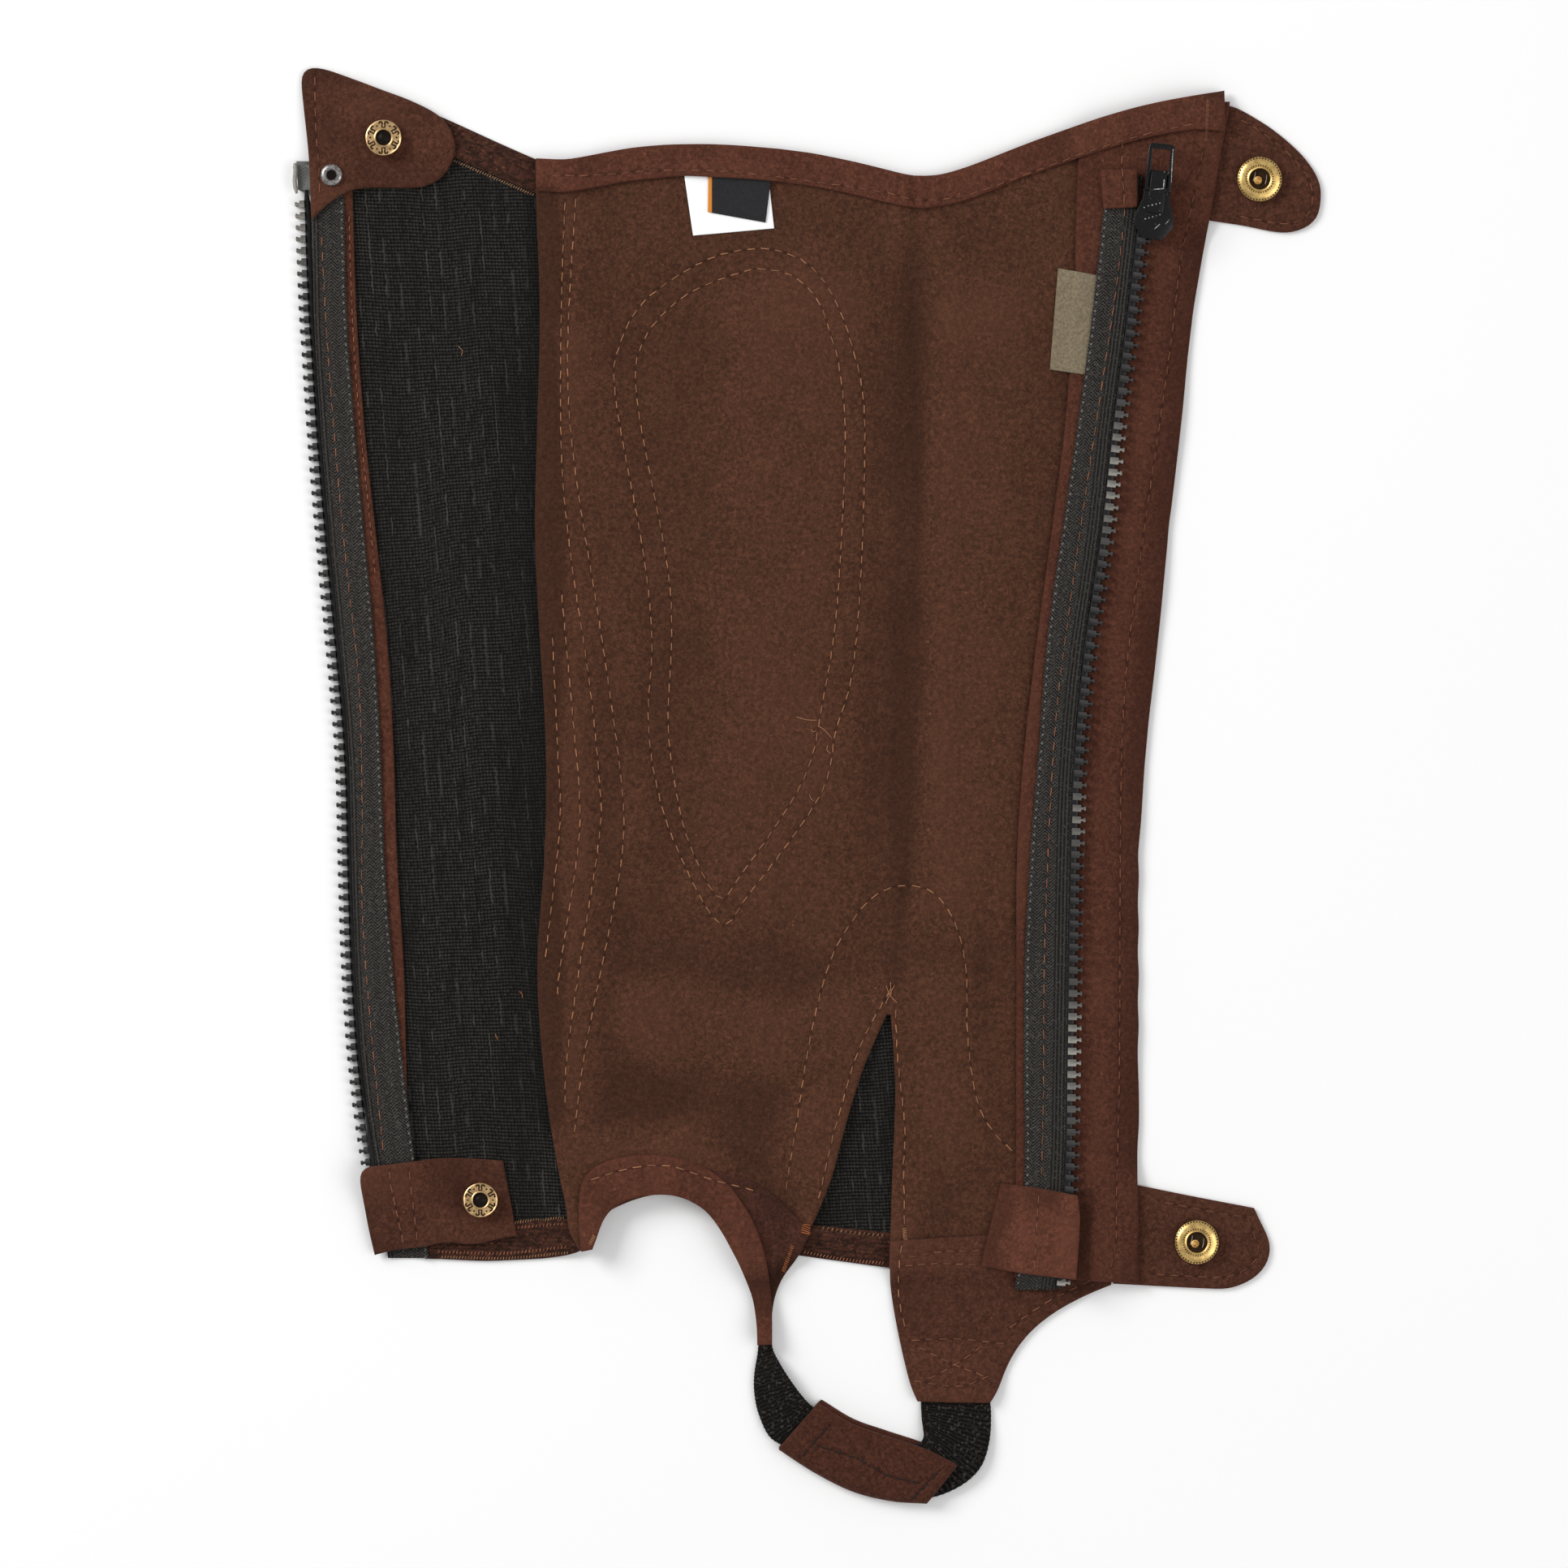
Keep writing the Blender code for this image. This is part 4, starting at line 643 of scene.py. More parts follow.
class Pile:
    """Height map of everything laid so far."""

    def __init__(self):
        self.x = np.arange(MAP_LOW[0], MAP_HIGH[0], CELL)
        self.y = np.arange(MAP_LOW[1], MAP_HIGH[1], CELL)
        self.grid_x, self.grid_y = np.meshgrid(self.x, self.y)
        self.top = np.zeros_like(self.grid_x)
        rolls = sum((fold.height * ridge(fold, self.grid_x, self.grid_y)) ** MERGING for fold in FOLDS)
        self.rolls = rolls ** (1 / MERGING)
        self.creases = sum(fold.height * ridge(fold, self.grid_x, self.grid_y) for fold in CREASES)

    def inside(self, outline):
        """Cells whose middle lies inside a closed outline."""
        mask = np.zeros(self.top.shape, dtype=bool)
        for (x0, y0), (x1, y1) in zip(outline, outline[1:] + outline[:1]):
            low, high = sorted((y0, y1))
            rows = np.nonzero((self.y >= low) & (self.y < high))[0]
            if len(rows):
                cross = x0 + (self.y[rows] - y0) * (x1 - x0) / (y1 - y0)
                mask[rows] ^= self.x[None, :] > cross[:, None]
        return mask

    def bed(self, mask, reach, limp=1.0):
        """Underside of a sheet that bridges what lies under it, as far as it is stiff."""
        under = np.where(mask, np.maximum(self.top, self.rolls), 0.0)
        cells = max(1, round(reach / CELL))
        lifted = under
        for axis in (0, 1):
            best = lifted
            for shift in range(1, cells + 1):
                best = np.maximum(best, np.roll(lifted, shift, axis))
                best = np.maximum(best, np.roll(lifted, -shift, axis))
            lifted = best
        lifted = np.where(mask, lifted, 0.0)
        weight = box_mean(box_mean(mask.astype(float), cells), cells)
        smooth = box_mean(box_mean(lifted, cells), cells) / np.maximum(weight, 1e-6)
        uneven = limp * (waves(self.grid_x, self.grid_y) + self.creases)
        return np.where(mask, np.maximum(smooth + uneven, self.top + GAP), 0.0)

    def spread(self, field, mask):
        """The field with its values carried a little past the edge of the mask."""
        cells = 3
        weight = box_mean(mask.astype(float), cells)
        outside = box_mean(np.where(mask, field, 0.0), cells) / np.maximum(weight, 1e-6)
        return np.where(mask, field, outside)

    def height(self, field, x, y):
        """Values of a field at points, between the cells."""
        across = np.clip((np.asarray(x) - self.x[0]) / CELL, 0, len(self.x) - 1.001)
        along = np.clip((np.asarray(y) - self.y[0]) / CELL, 0, len(self.y) - 1.001)
        i = across.astype(int)
        j = along.astype(int)
        u = across - i
        v = along - j
        low = field[j, i] * (1 - u) + field[j, i + 1] * u
        high = field[j + 1, i] * (1 - u) + field[j + 1, i + 1] * u
        return low * (1 - v) + high * v

    def level(self, x, y):
        """Height of the pile at one place."""
        return float(self.height(self.top, x, y))

    def cells(self, x, y):
        """Row and column of the cells that points lie in."""
        column = np.clip(((x - MAP_LOW[0]) / CELL).astype(int), 0, len(self.x) - 1)
        row = np.clip(((y - MAP_LOW[1]) / CELL).astype(int), 0, len(self.y) - 1)
        return row, column

    def lay(self, mask, top):
        """Put a sheet's top on the pile."""
        self.top = np.where(mask, np.maximum(top, self.top), self.top)


pile = Pile()


def mesh_of(name, points, faces):
    """A mesh from points in millimetres."""
    mesh = bpy.data.meshes.new(name)
    mesh.from_pydata((np.asarray(points, dtype=float) * MM).tolist(), [], faces)
    mesh.validate()
    mesh.shade_smooth()
    return mesh


def values_on(mesh, name, values):
    """Store one number a point on a mesh, for its material."""
    data = np.asarray(values, dtype=np.float32)
    mesh.attributes.new(name, "FLOAT", "POINT").data.foreach_set("value", data)


def places_on(mesh, name, places):
    """Store places across and along a strip on a mesh, in metres, for its weave."""
    data = np.zeros((len(mesh.vertices), 3), dtype=np.float32)
    data[:, :places.shape[1]] = places * MM
    mesh.attributes.new(name, "FLOAT_VECTOR", "POINT").data.foreach_set("vector", data.ravel())


def new_object(name, data):
    """A new object in the scene."""
    thing = bpy.data.objects.new(name, data)
    bpy.context.scene.collection.objects.link(thing)
    return thing


def new_piece(name, mesh, material, slot, *nodes, body="garment"):
    """A finished piece in the scene, which rides a body and stands for its nodes."""
    piece = new_object(name, mesh)
    mesh.materials.clear()
    mesh.materials.append(material)
    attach(piece, body)
    if nodes:
        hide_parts(*nodes)
    return piece


def points_of(piece):
    """Places of a piece's points, in millimetres."""
    return np.array([v.co for v in piece.data.vertices]) / MM


def edge_lane(row):
    """Lane of sewing inside an edge, cut to its box."""
    loop = inset(outline_of(row.piece), row.inset)
    kept = [row.low_x < x < row.high_x and row.low_y < y < row.high_y for x, y in loop]
    start = next(i for i in range(len(loop)) if kept[i] and not kept[i - 1])
    lane = []
    for i in range(len(loop)):
        if not kept[(start + i) % len(loop)]:
            break
        lane.append(loop[(start + i) % len(loop)])
    return lane


def all_sewing():
    """Every row of sewing, those beside edges included."""
    rows = list(SEWN)
    for row in EDGE_ROWS:
        rows.append(Sewing(row.piece, row.thread, row.pitch, edge_lane(row)[::4]))
    return rows


def walk(lane, pitch):
    """Places and directions at an even pitch along a smooth lane."""
    line = [Vector(p) for p in smooth_line(lane, 0.5)]
    steps = [(b - a).length for a, b in zip(line, line[1:])]
    count = max(1, round(sum(steps) / pitch))
    pitch = sum(steps) / count
    places = []
    travelled = 0.0
    wanted = pitch / 2
    for start, end, length in zip(line, line[1:], steps):
        while length and wanted <= travelled + length:
            places.append((start.lerp(end, (wanted - travelled) / length), (end - start).normalized()))
            wanted += pitch
        travelled += length
    return places


def groove_samples(name):
    """Points close together along the sewing of a piece, each with its pull, deepest at the holes."""
    samples = []
    for row in all_sewing():
        if name in row.pieces.split():
            for place, direction in walk(row.lane, row.pitch):
                for share in np.arange(-1, 1, 0.25).tolist():
                    spot = place + direction * (share * row.pitch / 2)
                    samples.append((*spot, 0.45 + 0.55 * share ** 2))
    return samples


def groove_points(samples, core):
    """Points close together along the sewing, and the cells of the height map that they fill."""
    near = set()
    reach = math.ceil(GROOVE_REACH / GROOVE_CELL)
    for x, y, _ in samples:
        column = round(x / GROOVE_CELL)
        row = round(y / GROOVE_CELL)
        for i in range(column - reach, column + reach + 1):
            for j in range(row - reach, row + reach + 1):
                if math.hypot(i * GROOVE_CELL - x, j * GROOVE_CELL - y) < GROOVE_REACH:
                    near.add((i, j))
    columns, rows = np.array(sorted(near), dtype=int).reshape(-1, 2).T
    x = (columns + rows % 2 / 2) * GROOVE_CELL
    y = rows * GROOVE_CELL
    cells = pile.cells(x, y)
    taken = np.zeros_like(core)
    taken[cells] = True
    return np.column_stack([x, y])[core[cells]].tolist(), taken


def tree_of(places):
    """Tree that finds the nearest of some places."""
    tree = KDTree(len(places))
    for index, (x, y, *_) in enumerate(places):
        tree.insert((x, y, 0.0), index)
    tree.balance()
    return tree


def pulls(samples, places):
    """How strongly sewing pulls each place down, from 0 to 1."""
    pull = np.zeros(len(places))
    if samples:
        tree = tree_of(samples)
        for index, (x, y) in enumerate(places):
            _, nearest, distance = tree.find((x, y, 0.0))
            if distance < GROOVE_REACH:
                pull[index] = samples[nearest][2] * math.exp(-(distance / GROOVE_WIDTH) ** 2)
    return pull


def lattice(mask, low, high, cell):
    """Staggered points of a lattice that lie in a mask."""
    rows = np.arange(low[1], high[1], cell[1])
    x, y = np.meshgrid(np.arange(low[0], high[0], cell[0]), rows)
    x = (x + (np.arange(len(rows)) % 2)[:, None] * cell[0] / 2).ravel()
    y = y.ravel()
    return np.column_stack([x, y])[mask[pile.cells(x, y)]].tolist()


def shrunk(mask, cells):
    """A mask without a border of some cells."""
    return box_mean(mask.astype(float), cells) > 0.999


def filled(outline, points, squeeze=1.0):
    """Triangles that fill an outline through extra points; squeeze makes them long and low."""
    corners = [Vector((x, y * squeeze)) for x, y in outline]
    extra = [Vector((x, y * squeeze)) for x, y in points]
    ring = list(range(len(corners)))
    verts, _, faces, origins, _, _ = delaunay_2d_cdt(corners + extra, [], [ring], 1, WELD)
    xy = np.array([(v.x, v.y / squeeze) for v in verts])
    triangles = np.array([face for face in faces if len(face) == 3])
    a, b, c = (xy[triangles[:, k]] for k in range(3))
    turned = (b[:, 0] - a[:, 0]) * (c[:, 1] - a[:, 1]) - (b[:, 1] - a[:, 1]) * (c[:, 0] - a[:, 0]) < 0
    triangles[turned] = triangles[turned][:, ::-1]
    at = {}
    for index, origin in enumerate(origins):
        for source in origin:
            at.setdefault(source, index)
    return xy, triangles, [at[i] for i in ring]


# Edge of a cloth: how far in each ring lies and how high, as shares of the thickness
EDGE_RINGS = ((0.14, 0.8), (0.0, 0.5), (0.12, 0.18))
TOP_INSET = 0.45
BOTTOM_INSET = 0.4
RIM_DROP = 0.1
RIM_CELLS = 2


def band(upper, lower):
    """Faces between two closed rings of as many points."""
    return [(upper[i], upper[i - 1], lower[i - 1], lower[i]) for i in range(len(lower))]


def relief_of(top, mask):
    """How far a sheet's top stands above or below its own mean round about, with the bands of painted shade
    and painted light added; the finishes paint its hollows as shade and its crests as light.
    """
    cells = round(RELIEF_REACH / CELL)
    share = box_mean(box_mean(mask.astype(float), cells), cells)
    ground = box_mean(box_mean(np.where(mask, top, 0.0), cells), cells) / np.maximum(share, 1e-6)
    # Bands of painted shade and painted light, added to the relief
    painted_bands = sum(tone.height * ridge(tone, pile.grid_x, pile.grid_y) for tone in LIGHT_AND_SHADE_BANDS)
    return pile.spread(top - ground + painted_bands, mask)


def cloth(name, thickness, material, slot, cell=(1.6, 1.6), reach=2.0, limp=1.0, shape=None, ribs=None):
    """Lay a sheet of cloth in the place of its node, on everything laid before it."""
    outline = outline_of(name)
    mask = pile.inside(outline)
    bottom = pile.bed(mask, reach, limp)
    if shape:
        bottom = np.where(mask, np.maximum(bottom + shape(pile.grid_x, pile.grid_y), pile.top + GAP), 0.0)
    top = bottom + thickness
    under = pile.spread(bottom, mask)
    over = pile.spread(top, mask)
    samples = groove_samples(name)
    low = (pile.grid_x[mask].min(), pile.grid_y[mask].min())
    high = (pile.grid_x[mask].max(), pile.grid_y[mask].max())
    core = shrunk(mask, RIM_CELLS)
    points, taken = groove_points(samples, core)
    points += lattice(core & ~taken, low, high, cell)
    xy, triangles, ring = filled(inset(outline, TOP_INSET * thickness), points, cell[0] / cell[1])
    z = pile.height(over, xy[:, 0], xy[:, 1])
    if ribs:
        z = z + ribs(xy[:, 0], xy[:, 1])
    seam = pulls(samples, xy)
    z = z - sizes().groove_depth / MM * seam
    border = tree_of(outline)
    worn = np.array([math.exp(-border.find((x, y, 0.0))[2] / WORN_REACH) for x, y in xy])
    z[ring] -= RIM_DROP * thickness
    points = [np.column_stack([xy, z])]
    faces = triangles.tolist()
    last = ring
    count = len(xy)
    for depth_share, height_share in EDGE_RINGS:
        loop = np.array(inset(outline, depth_share * thickness))
        level = pile.height(under, loop[:, 0], loop[:, 1]) + height_share * thickness
        points.append(np.column_stack([loop, level]))
        new = list(range(count, count + len(loop)))
        faces += band(last, new)
        last = new
        count += len(loop)
    rest = lattice(core, low, high, (UNDERSIDE_CELL, UNDERSIDE_CELL))
    xy_low, triangles_low, ring_low = filled(inset(outline, BOTTOM_INSET * thickness), rest)
    level = pile.height(under, xy_low[:, 0], xy_low[:, 1])
    points.append(np.column_stack([xy_low, level]))
    new = [count + i for i in ring_low]
    faces += band(last, new)
    faces += (triangles_low[:, ::-1] + count).tolist()
    everything = np.concatenate(points)
    mesh = mesh_of(name, everything, faces)
    extra = len(everything) - len(xy)
    # The sewing's pull, which the suede finish also paints as shade in its grooves
    values_on(mesh, "seam", np.concatenate([seam, np.zeros(extra)]))
    values_on(mesh, "edge", np.concatenate([worn, np.ones(extra)]))
    # Relief for the finishes' painted shade in hollows and painted light on crests
    values_on(mesh, "relief", pile.height(relief_of(top, mask), everything[:, 0], everything[:, 1]))
    piece = new_piece(name + "_cloth", mesh, material, slot, name)
    pile.lay(mask, top)
    width, length, area = cut_size(outline)
    return piece, outline


def edge_at(outline, low_side):
    """Function that gives the x of a lengthwise strip's left or right edge at a height."""
    points = np.array(outline)
    levels = np.arange(points[:, 1].min(), points[:, 1].max() + 1, 1.0)
    found = []
    for level in levels:
        near = points[np.abs(points[:, 1] - level) < EDGE_WINDOW]
        near = near if len(near) else points
        found.append(near[:, 0].min() if low_side else near[:, 0].max())
    return lambda y: np.interp(y, levels, found)


class Finish:
    """A Principled material under construction, with short calls for its nodes."""

    def __init__(self, name, roughness, metallic=0.0, **constants):
        self.material = bpy.data.materials.new(name)
        self.material.use_nodes = True
        self.tree = self.material.node_tree
        self.shader = self.tree.nodes["Principled BSDF"]
        self.shader.inputs["Roughness"].default_value = roughness
        self.shader.inputs["Metallic"].default_value = metallic
        for key, value in constants.items():
            self.shader.inputs[key.replace("_", " ").title().replace("Ior", "IOR")].default_value = value
        self.place = self.node("TexCoord").outputs["Object"]
        self.normal = None

    def node(self, kind, inputs=None, **settings):
        """Add a node with its settings and inputs."""
        node = self.tree.nodes.new("ShaderNode" + kind)
        for key, value in settings.items():
            setattr(node, key, value)
        for key, value in (inputs or {}).items():
            self.feed(node.inputs[key], value)
        return node

    def feed(self, socket, value):
        """Link a socket, or set its value."""
        if isinstance(value, bpy.types.NodeSocket):
            self.tree.links.new(value, socket)
        else:
            socket.default_value = value

    def scaled(self, stretch, vector=None):
        """Coordinates stretched by three factors."""
        return self.node("Mapping", {"Vector": vector or self.place, "Scale": stretch}).outputs["Vector"]

    def noise(self, scale, detail=2.0, distortion=0.0):
        """Noise of about one over the scale metres, or drawn out by three scales."""
        place, scale = (self.scaled(scale), 1.0) if isinstance(scale, tuple) else (self.place, scale)
        return self.node("TexNoise", {"Vector": place, "Scale": scale, "Detail": detail,
                                      "Distortion": distortion}).outputs["Fac"]

    def spots(self, scale, vector=None, randomness=1.0):
        """Distance to the nearest of scattered points."""
        return self.node("TexVoronoi", {"Vector": vector or self.place, "Scale": scale,
                                        "Randomness": randomness}).outputs["Distance"]

    def parts(self, vector):
        """Three numbers of a vector."""
        return self.node("SeparateXYZ", {"Vector": vector}).outputs

    def attribute(self, name, output="Fac"):
        """Value stored on the mesh."""
        return self.node("Attribute", attribute_name=name).outputs[output]

    def span(self, value, low, high, start=0.0, end=1.0):
        """A value mapped from one span to another and held inside it."""
        return self.node("MapRange", {"Value": value, "From Min": low, "From Max": high, "To Min": start,
                                      "To Max": end}).outputs["Result"]

    def maths(self, kind, first, second=0.0):
        """Arithmetic on one or two values."""
        node = self.node("Math", operation=kind)
        self.feed(node.inputs[0], first)
        self.feed(node.inputs[1], second)
        return node.outputs[0]

    def times(self, first, second):
        """Product of two values."""
        return self.maths("MULTIPLY", first, second)

    def wave(self, value, length):
        """Sine waves of a length along a value."""
        return self.maths("SINE", self.times(value, 2 * math.pi / length))

    def mixed(self, factor, first, second):
        """Two colours mixed by a factor."""
        node = self.node("Mix", data_type="RGBA")
        self.feed(node.inputs[0], factor)
        for socket, value in ((node.inputs[6], first), (node.inputs[7], second)):
            self.feed(socket, value if isinstance(value, bpy.types.NodeSocket) else (*value, 1.0))
        return node.outputs[2]

    def shaded(self, colour, value, low, high, other, share=1.0):
        """A colour that turns into another, up to a share, as a value goes from low to high."""
        return self.mixed(self.span(value, low, high, 0.0, share), colour, other)

    def ground(self, rgb, value, low, high, dark, light):
        """Two tones of a colour, which turn into each other as a value goes from low to high."""
        return self.mixed(self.span(value, low, high), toned(rgb, dark), toned(rgb, light))

    def tinted(self, colour, rgb, *steps):
        """A colour shaded by more tones: for each the value, its low and high, the tone and its share."""
        for value, low, high, tone, share in steps:
            colour = self.shaded(colour, value, low, high, toned(rgb, tone), share)
        return colour

    def bump(self, height, distance, strength=1.0):
        """Fine relief in metres, added to what is there."""
        inputs = {"Height": height, "Distance": distance, "Strength": strength}
        if self.normal:
            inputs["Normal"] = self.normal
        self.normal = self.node("Bump", inputs).outputs["Normal"]
        self.feed(self.shader.inputs["Normal"], self.normal)

    def colour(self, value):
        """Set the surface colour."""
        self.feed(self.shader.inputs["Base Color"], value)
        return self.material


def toned(rgb, factor):
    """A colour made lighter or darker."""
    return tuple(min(1.0, channel * factor) for channel in rgb)


@cache
def suede_finish(name):
    """Napped flesh side: matted fibres, pale specks, dark pores and lighter cut edges, with painted shade in
    hollows and sewing grooves and painted light on crests.
    """
    look = SUEDES[name]
    rgb = toned(getattr(colours(), look.colour), look.tone)
    nap = look.nap
    finish = Finish(name, 0.95, specular_ior_level=0.12, sheen_weight=0.1 * nap, sheen_roughness=0.5,
                    sheen_tint=(0.75, 0.5, 0.4, 1.0))
    brushed = finish.noise((330, 190, 330), 3.0, 0.8)
    matted = finish.noise(950, 3.0, 0.8)
    fibres = finish.noise((1500, 800, 1500), 2.0, 1.5)
    relief = finish.attribute("relief")
    colour = finish.ground(rgb, finish.noise(75, 3.0, 0.4), 0.3, 0.7, 0.91, 1.09)
    colour = finish.tinted(colour, rgb, (brushed, 0.5, 0.78, 1.45, 0.24 * nap),
                           (brushed, 0.48, 0.24, 0.65, 0.28 * nap),
                           (matted, 0.51, 0.66, 1.85, 0.6 * nap), (matted, 0.49, 0.34, 0.42, 0.6 * nap),
                           (fibres, 0.58, 0.72, 2.2, 0.55 * nap), (finish.spots(170), 0.075, 0.045, 2.6, 0.6))
    cut_edge = (rgb[0] * 1.3, rgb[1] * 1.05, rgb[2])
    colour = finish.shaded(colour, finish.attribute("edge"), 0.4, 1.0, cut_edge, 0.3)
    # Painted shade in the sewing's grooves and in the relief's hollows, painted light on its crests
    colour = finish.tinted(colour, rgb, (finish.attribute("seam"), 0.4, 0.9, 0.3, 0.8),
                           (relief, 0.0, -1.3, 0.42, 0.55), (relief, 0.1, 1.2, 1.5, 0.35))
    finish.bump(brushed, 0.0009, 0.3)
    finish.bump(matted, 0.0005, 0.6 * nap)
    return finish.colour(colour)


def knit_finish():
    """Black rib knit: ribs of short loops turned grey by painted light over gaps in painted shade, with faint
    pale slubs.
    """
    base = colours().knit
    finish = Finish("rib_knit", 0.85, specular_ior_level=0.1, sheen_weight=0.04, sheen_roughness=0.4)
    loops = finish.noise((900, 800, 900))
    across, along, _ = finish.parts(finish.place)
    column = finish.maths("ADD", across, finish.times(along, 0.08))
    column = finish.maths("ADD", column, finish.times(loops, 0.0012))
    broken = finish.span(finish.wave(column, 0.00092), -0.7, 0.2, 0.3, 1.0)
    broken = finish.times(broken, finish.span(loops, 0.36, 0.56, 0.5, 1.0))
    # Painted light on the ribs' crests and painted shade in the gaps between them
    lit = finish.times(finish.span(finish.attribute("rib"), 0.1, 0.8), broken)
    colour = finish.mixed(lit, toned(base, 0.17), toned(base, 3.2))
    colour = finish.tinted(colour, base, (finish.noise((400, 60, 400), 0.0), 0.4, 0.28, 0.25, 0.3))
    pale = finish.maths("ABSOLUTE", finish.wave(column, 0.0078))
    slub = finish.span(finish.noise((260, 150, 260), 1.0), 0.5, 0.6)
    slub = finish.times(slub, finish.span(pale, 0.22, 0.08))
    colour = finish.mixed(finish.times(slub, 0.62), colour, toned(base, 5.2))
    # Painted shade in the relief's hollows
    colour = finish.tinted(colour, base, (finish.attribute("relief"), 0.0, -0.9, 0.4, 0.5))
    finish.bump(loops, 0.0003, 0.7)
    return finish.colour(colour)


def elastic_finish():
    """Brown woven elastic, mottled where dark rubber shows between the threads, with painted shade in the
    troughs of its ribs.
    """
    base = colours().elastic
    finish = Finish("woven_elastic", 0.75, specular_ior_level=0.12, sheen_weight=0.04)
    blotch = finish.noise((520, 780, 520), 3.0, 1.0)
    colour = finish.ground(base, blotch, 0.4, 0.62, 0.4, 1.25)
    # Pale flecks, and painted shade in the ribs' troughs
    colour = finish.tinted(colour, base, (finish.noise(1200), 0.6, 0.75, 3.2, 0.8),
                           (finish.attribute("rib"), 0.5, 0.0, 0.3, 0.7))
    finish.bump(blotch, 0.0003, 0.7)
    return finish.colour(colour)


def strap_finish():
    """Black strap elastic: staggered loops on crosswise ribs, with painted light on the ribs' crests, painted
    shade in their troughs and between the loops, and small painted glints.
    """
    base = colours().strap
    finish = Finish("strap_elastic", 0.8, specular_ior_level=0.08, sheen_weight=0.02)
    loops = finish.spots(1.0, finish.scaled((1100, 1000, 1000), finish.attribute("weave", "Vector")), 0.35)
    # Painted light on the ribs' crests and painted shade in their troughs
    colour = finish.ground(base, finish.attribute("rib"), 0.15, 0.8, 0.35, 1.9)
    # Small painted glints, and painted shade between the loops
    colour = finish.tinted(colour, base, (finish.noise(1150, 1.0), 0.57, 0.68, 7.5, 0.9),
                           (loops, 0.3, 0.8, 0.35, 0.6))
    finish.bump(loops, 0.0002, 0.7)
    return finish.colour(colour)


def tape_finish():
    """Charcoal zip tape: herringbone field, corded band by the teeth and bright dots at the selvage, with a
    painted highlight on the left tape's bare end.
    """
    base = colours().tape
    finish = Finish("zip_tape", 0.65, specular_ior_level=0.16, sheen_weight=0.04)
    from_teeth, along, from_edge = finish.parts(finish.attribute("weave", "Vector"))
    zigzag = finish.maths("PINGPONG", finish.maths("DIVIDE", from_teeth, 0.0009), 2.0)
    zigzag = finish.maths("ADD", finish.maths("DIVIDE", along, 0.0009), zigzag)
    diagonal = finish.wave(zigzag, 1.0)
    fleck = finish.noise(1800)
    colour = finish.ground(base, diagonal, -0.5, 0.8, 0.25, 2.1)
    colour = finish.tinted(colour, base, (fleck, 0.54, 0.7, 4.2, 0.55), (fleck, 0.46, 0.3, 0.15, 0.6))
    corded = finish.ground(base, finish.wave(from_teeth, 0.001), -0.6, 0.8, 0.2, 1.5)
    corded = finish.tinted(corded, base, (fleck, 0.55, 0.7, 3.4, 0.5))
    colour = finish.shaded(colour, from_teeth, 0.0042, 0.0038, corded)
    row = finish.maths("PINGPONG", along, 0.00115)
    lane = finish.maths("ABSOLUTE", finish.maths("SUBTRACT", from_edge, 0.0009))
    dot = finish.times(finish.span(row, 0.0004, 0.0002), finish.span(lane, 0.0003, 0.00016))
    colour = finish.mixed(dot, colour, from_screen(118, 115, 110))
    # Painted highlight on the left tape's bare end
    colour = finish.mixed(finish.times(finish.attribute("pale"), 0.75), colour, from_screen(128, 128, 126))
    finish.bump(diagonal, 0.00015, 0.9)
    finish.bump(fleck, 0.00015, 0.6)
    return finish.colour(colour)


def teeth_finish():
    """Moulded plastic teeth, slightly scuffed; painted reflection makes some runs of them grey, painted
    highlight lightens their upper edges and painted shade darkens the cord.
    """
    base = colours().teeth
    finish = Finish("zip_teeth", 0.35, specular_ior_level=0.3)
    scuff = finish.noise(900, 3.0)
    fade = finish.attribute("fade")
    # Painted reflection turns teeth grey; painted shade darkens the cord
    colour = finish.mixed(finish.span(fade, 0.0, 1.0), base, from_screen(164, 160, 152))
    colour = finish.tinted(colour, base, (scuff, 0.52, 0.8, 4.0, 0.4),
                           (finish.attribute("lit"), 0.2, 1.0, 6.5, 0.6),
                           (fade, -0.3, -0.7, 0.8, 1.0))
    finish.bump(scuff, 0.00006, 0.5)
    return finish.colour(colour)


def thread_finish(name, rgb):
    """Twisted polyester thread, each stitch of a slightly different tone."""
    finish = Finish(name + "_thread", 0.6, specular_ior_level=0.25, sheen_weight=0.08)
    twist = finish.noise(3800, 1.0)
    colour = finish.mixed(finish.attribute("tone"), toned(rgb, 0.45), toned(rgb, 1.1))
    colour = finish.tinted(colour, rgb, (twist, 0.55, 0.4, 0.4, 0.5))
    finish.bump(twist, 0.00008, 0.8)
    return finish.colour(colour)


def brass_finish(name, base):
    """Antique brass, mottled and slightly pitted."""
    finish = Finish(name, 0.34, 1.0)
    pits = finish.noise(2600)
    colour = finish.ground(base, finish.noise(700, 3.0), 0.35, 0.7, 0.6, 1.05)
    colour = finish.tinted(colour, base, (pits, 0.62, 0.75, 0.35, 0.5))
    finish.bump(pits, 0.00004, 0.5)
    return finish.colour(colour)


def mottled(name, roughness, scale, first, second, metallic=0.0, low=0.0, high=1.0, **constants):
    """A finish of two colours mixed by noise."""
    finish = Finish(name, roughness, metallic, **constants)
    return finish.colour(finish.mixed(finish.span(finish.noise(scale), low, high), first, second))


def patina_finish():
    """Dark brown lacquer left in the hollows of the brass; it also fills the sockets' holes as painted shade.
    """
    return mottled("brass_patina", 0.5, 1400, from_screen(24, 16, 8), from_screen(62, 42, 20), 0.2,
                   specular_ior_level=0.1)


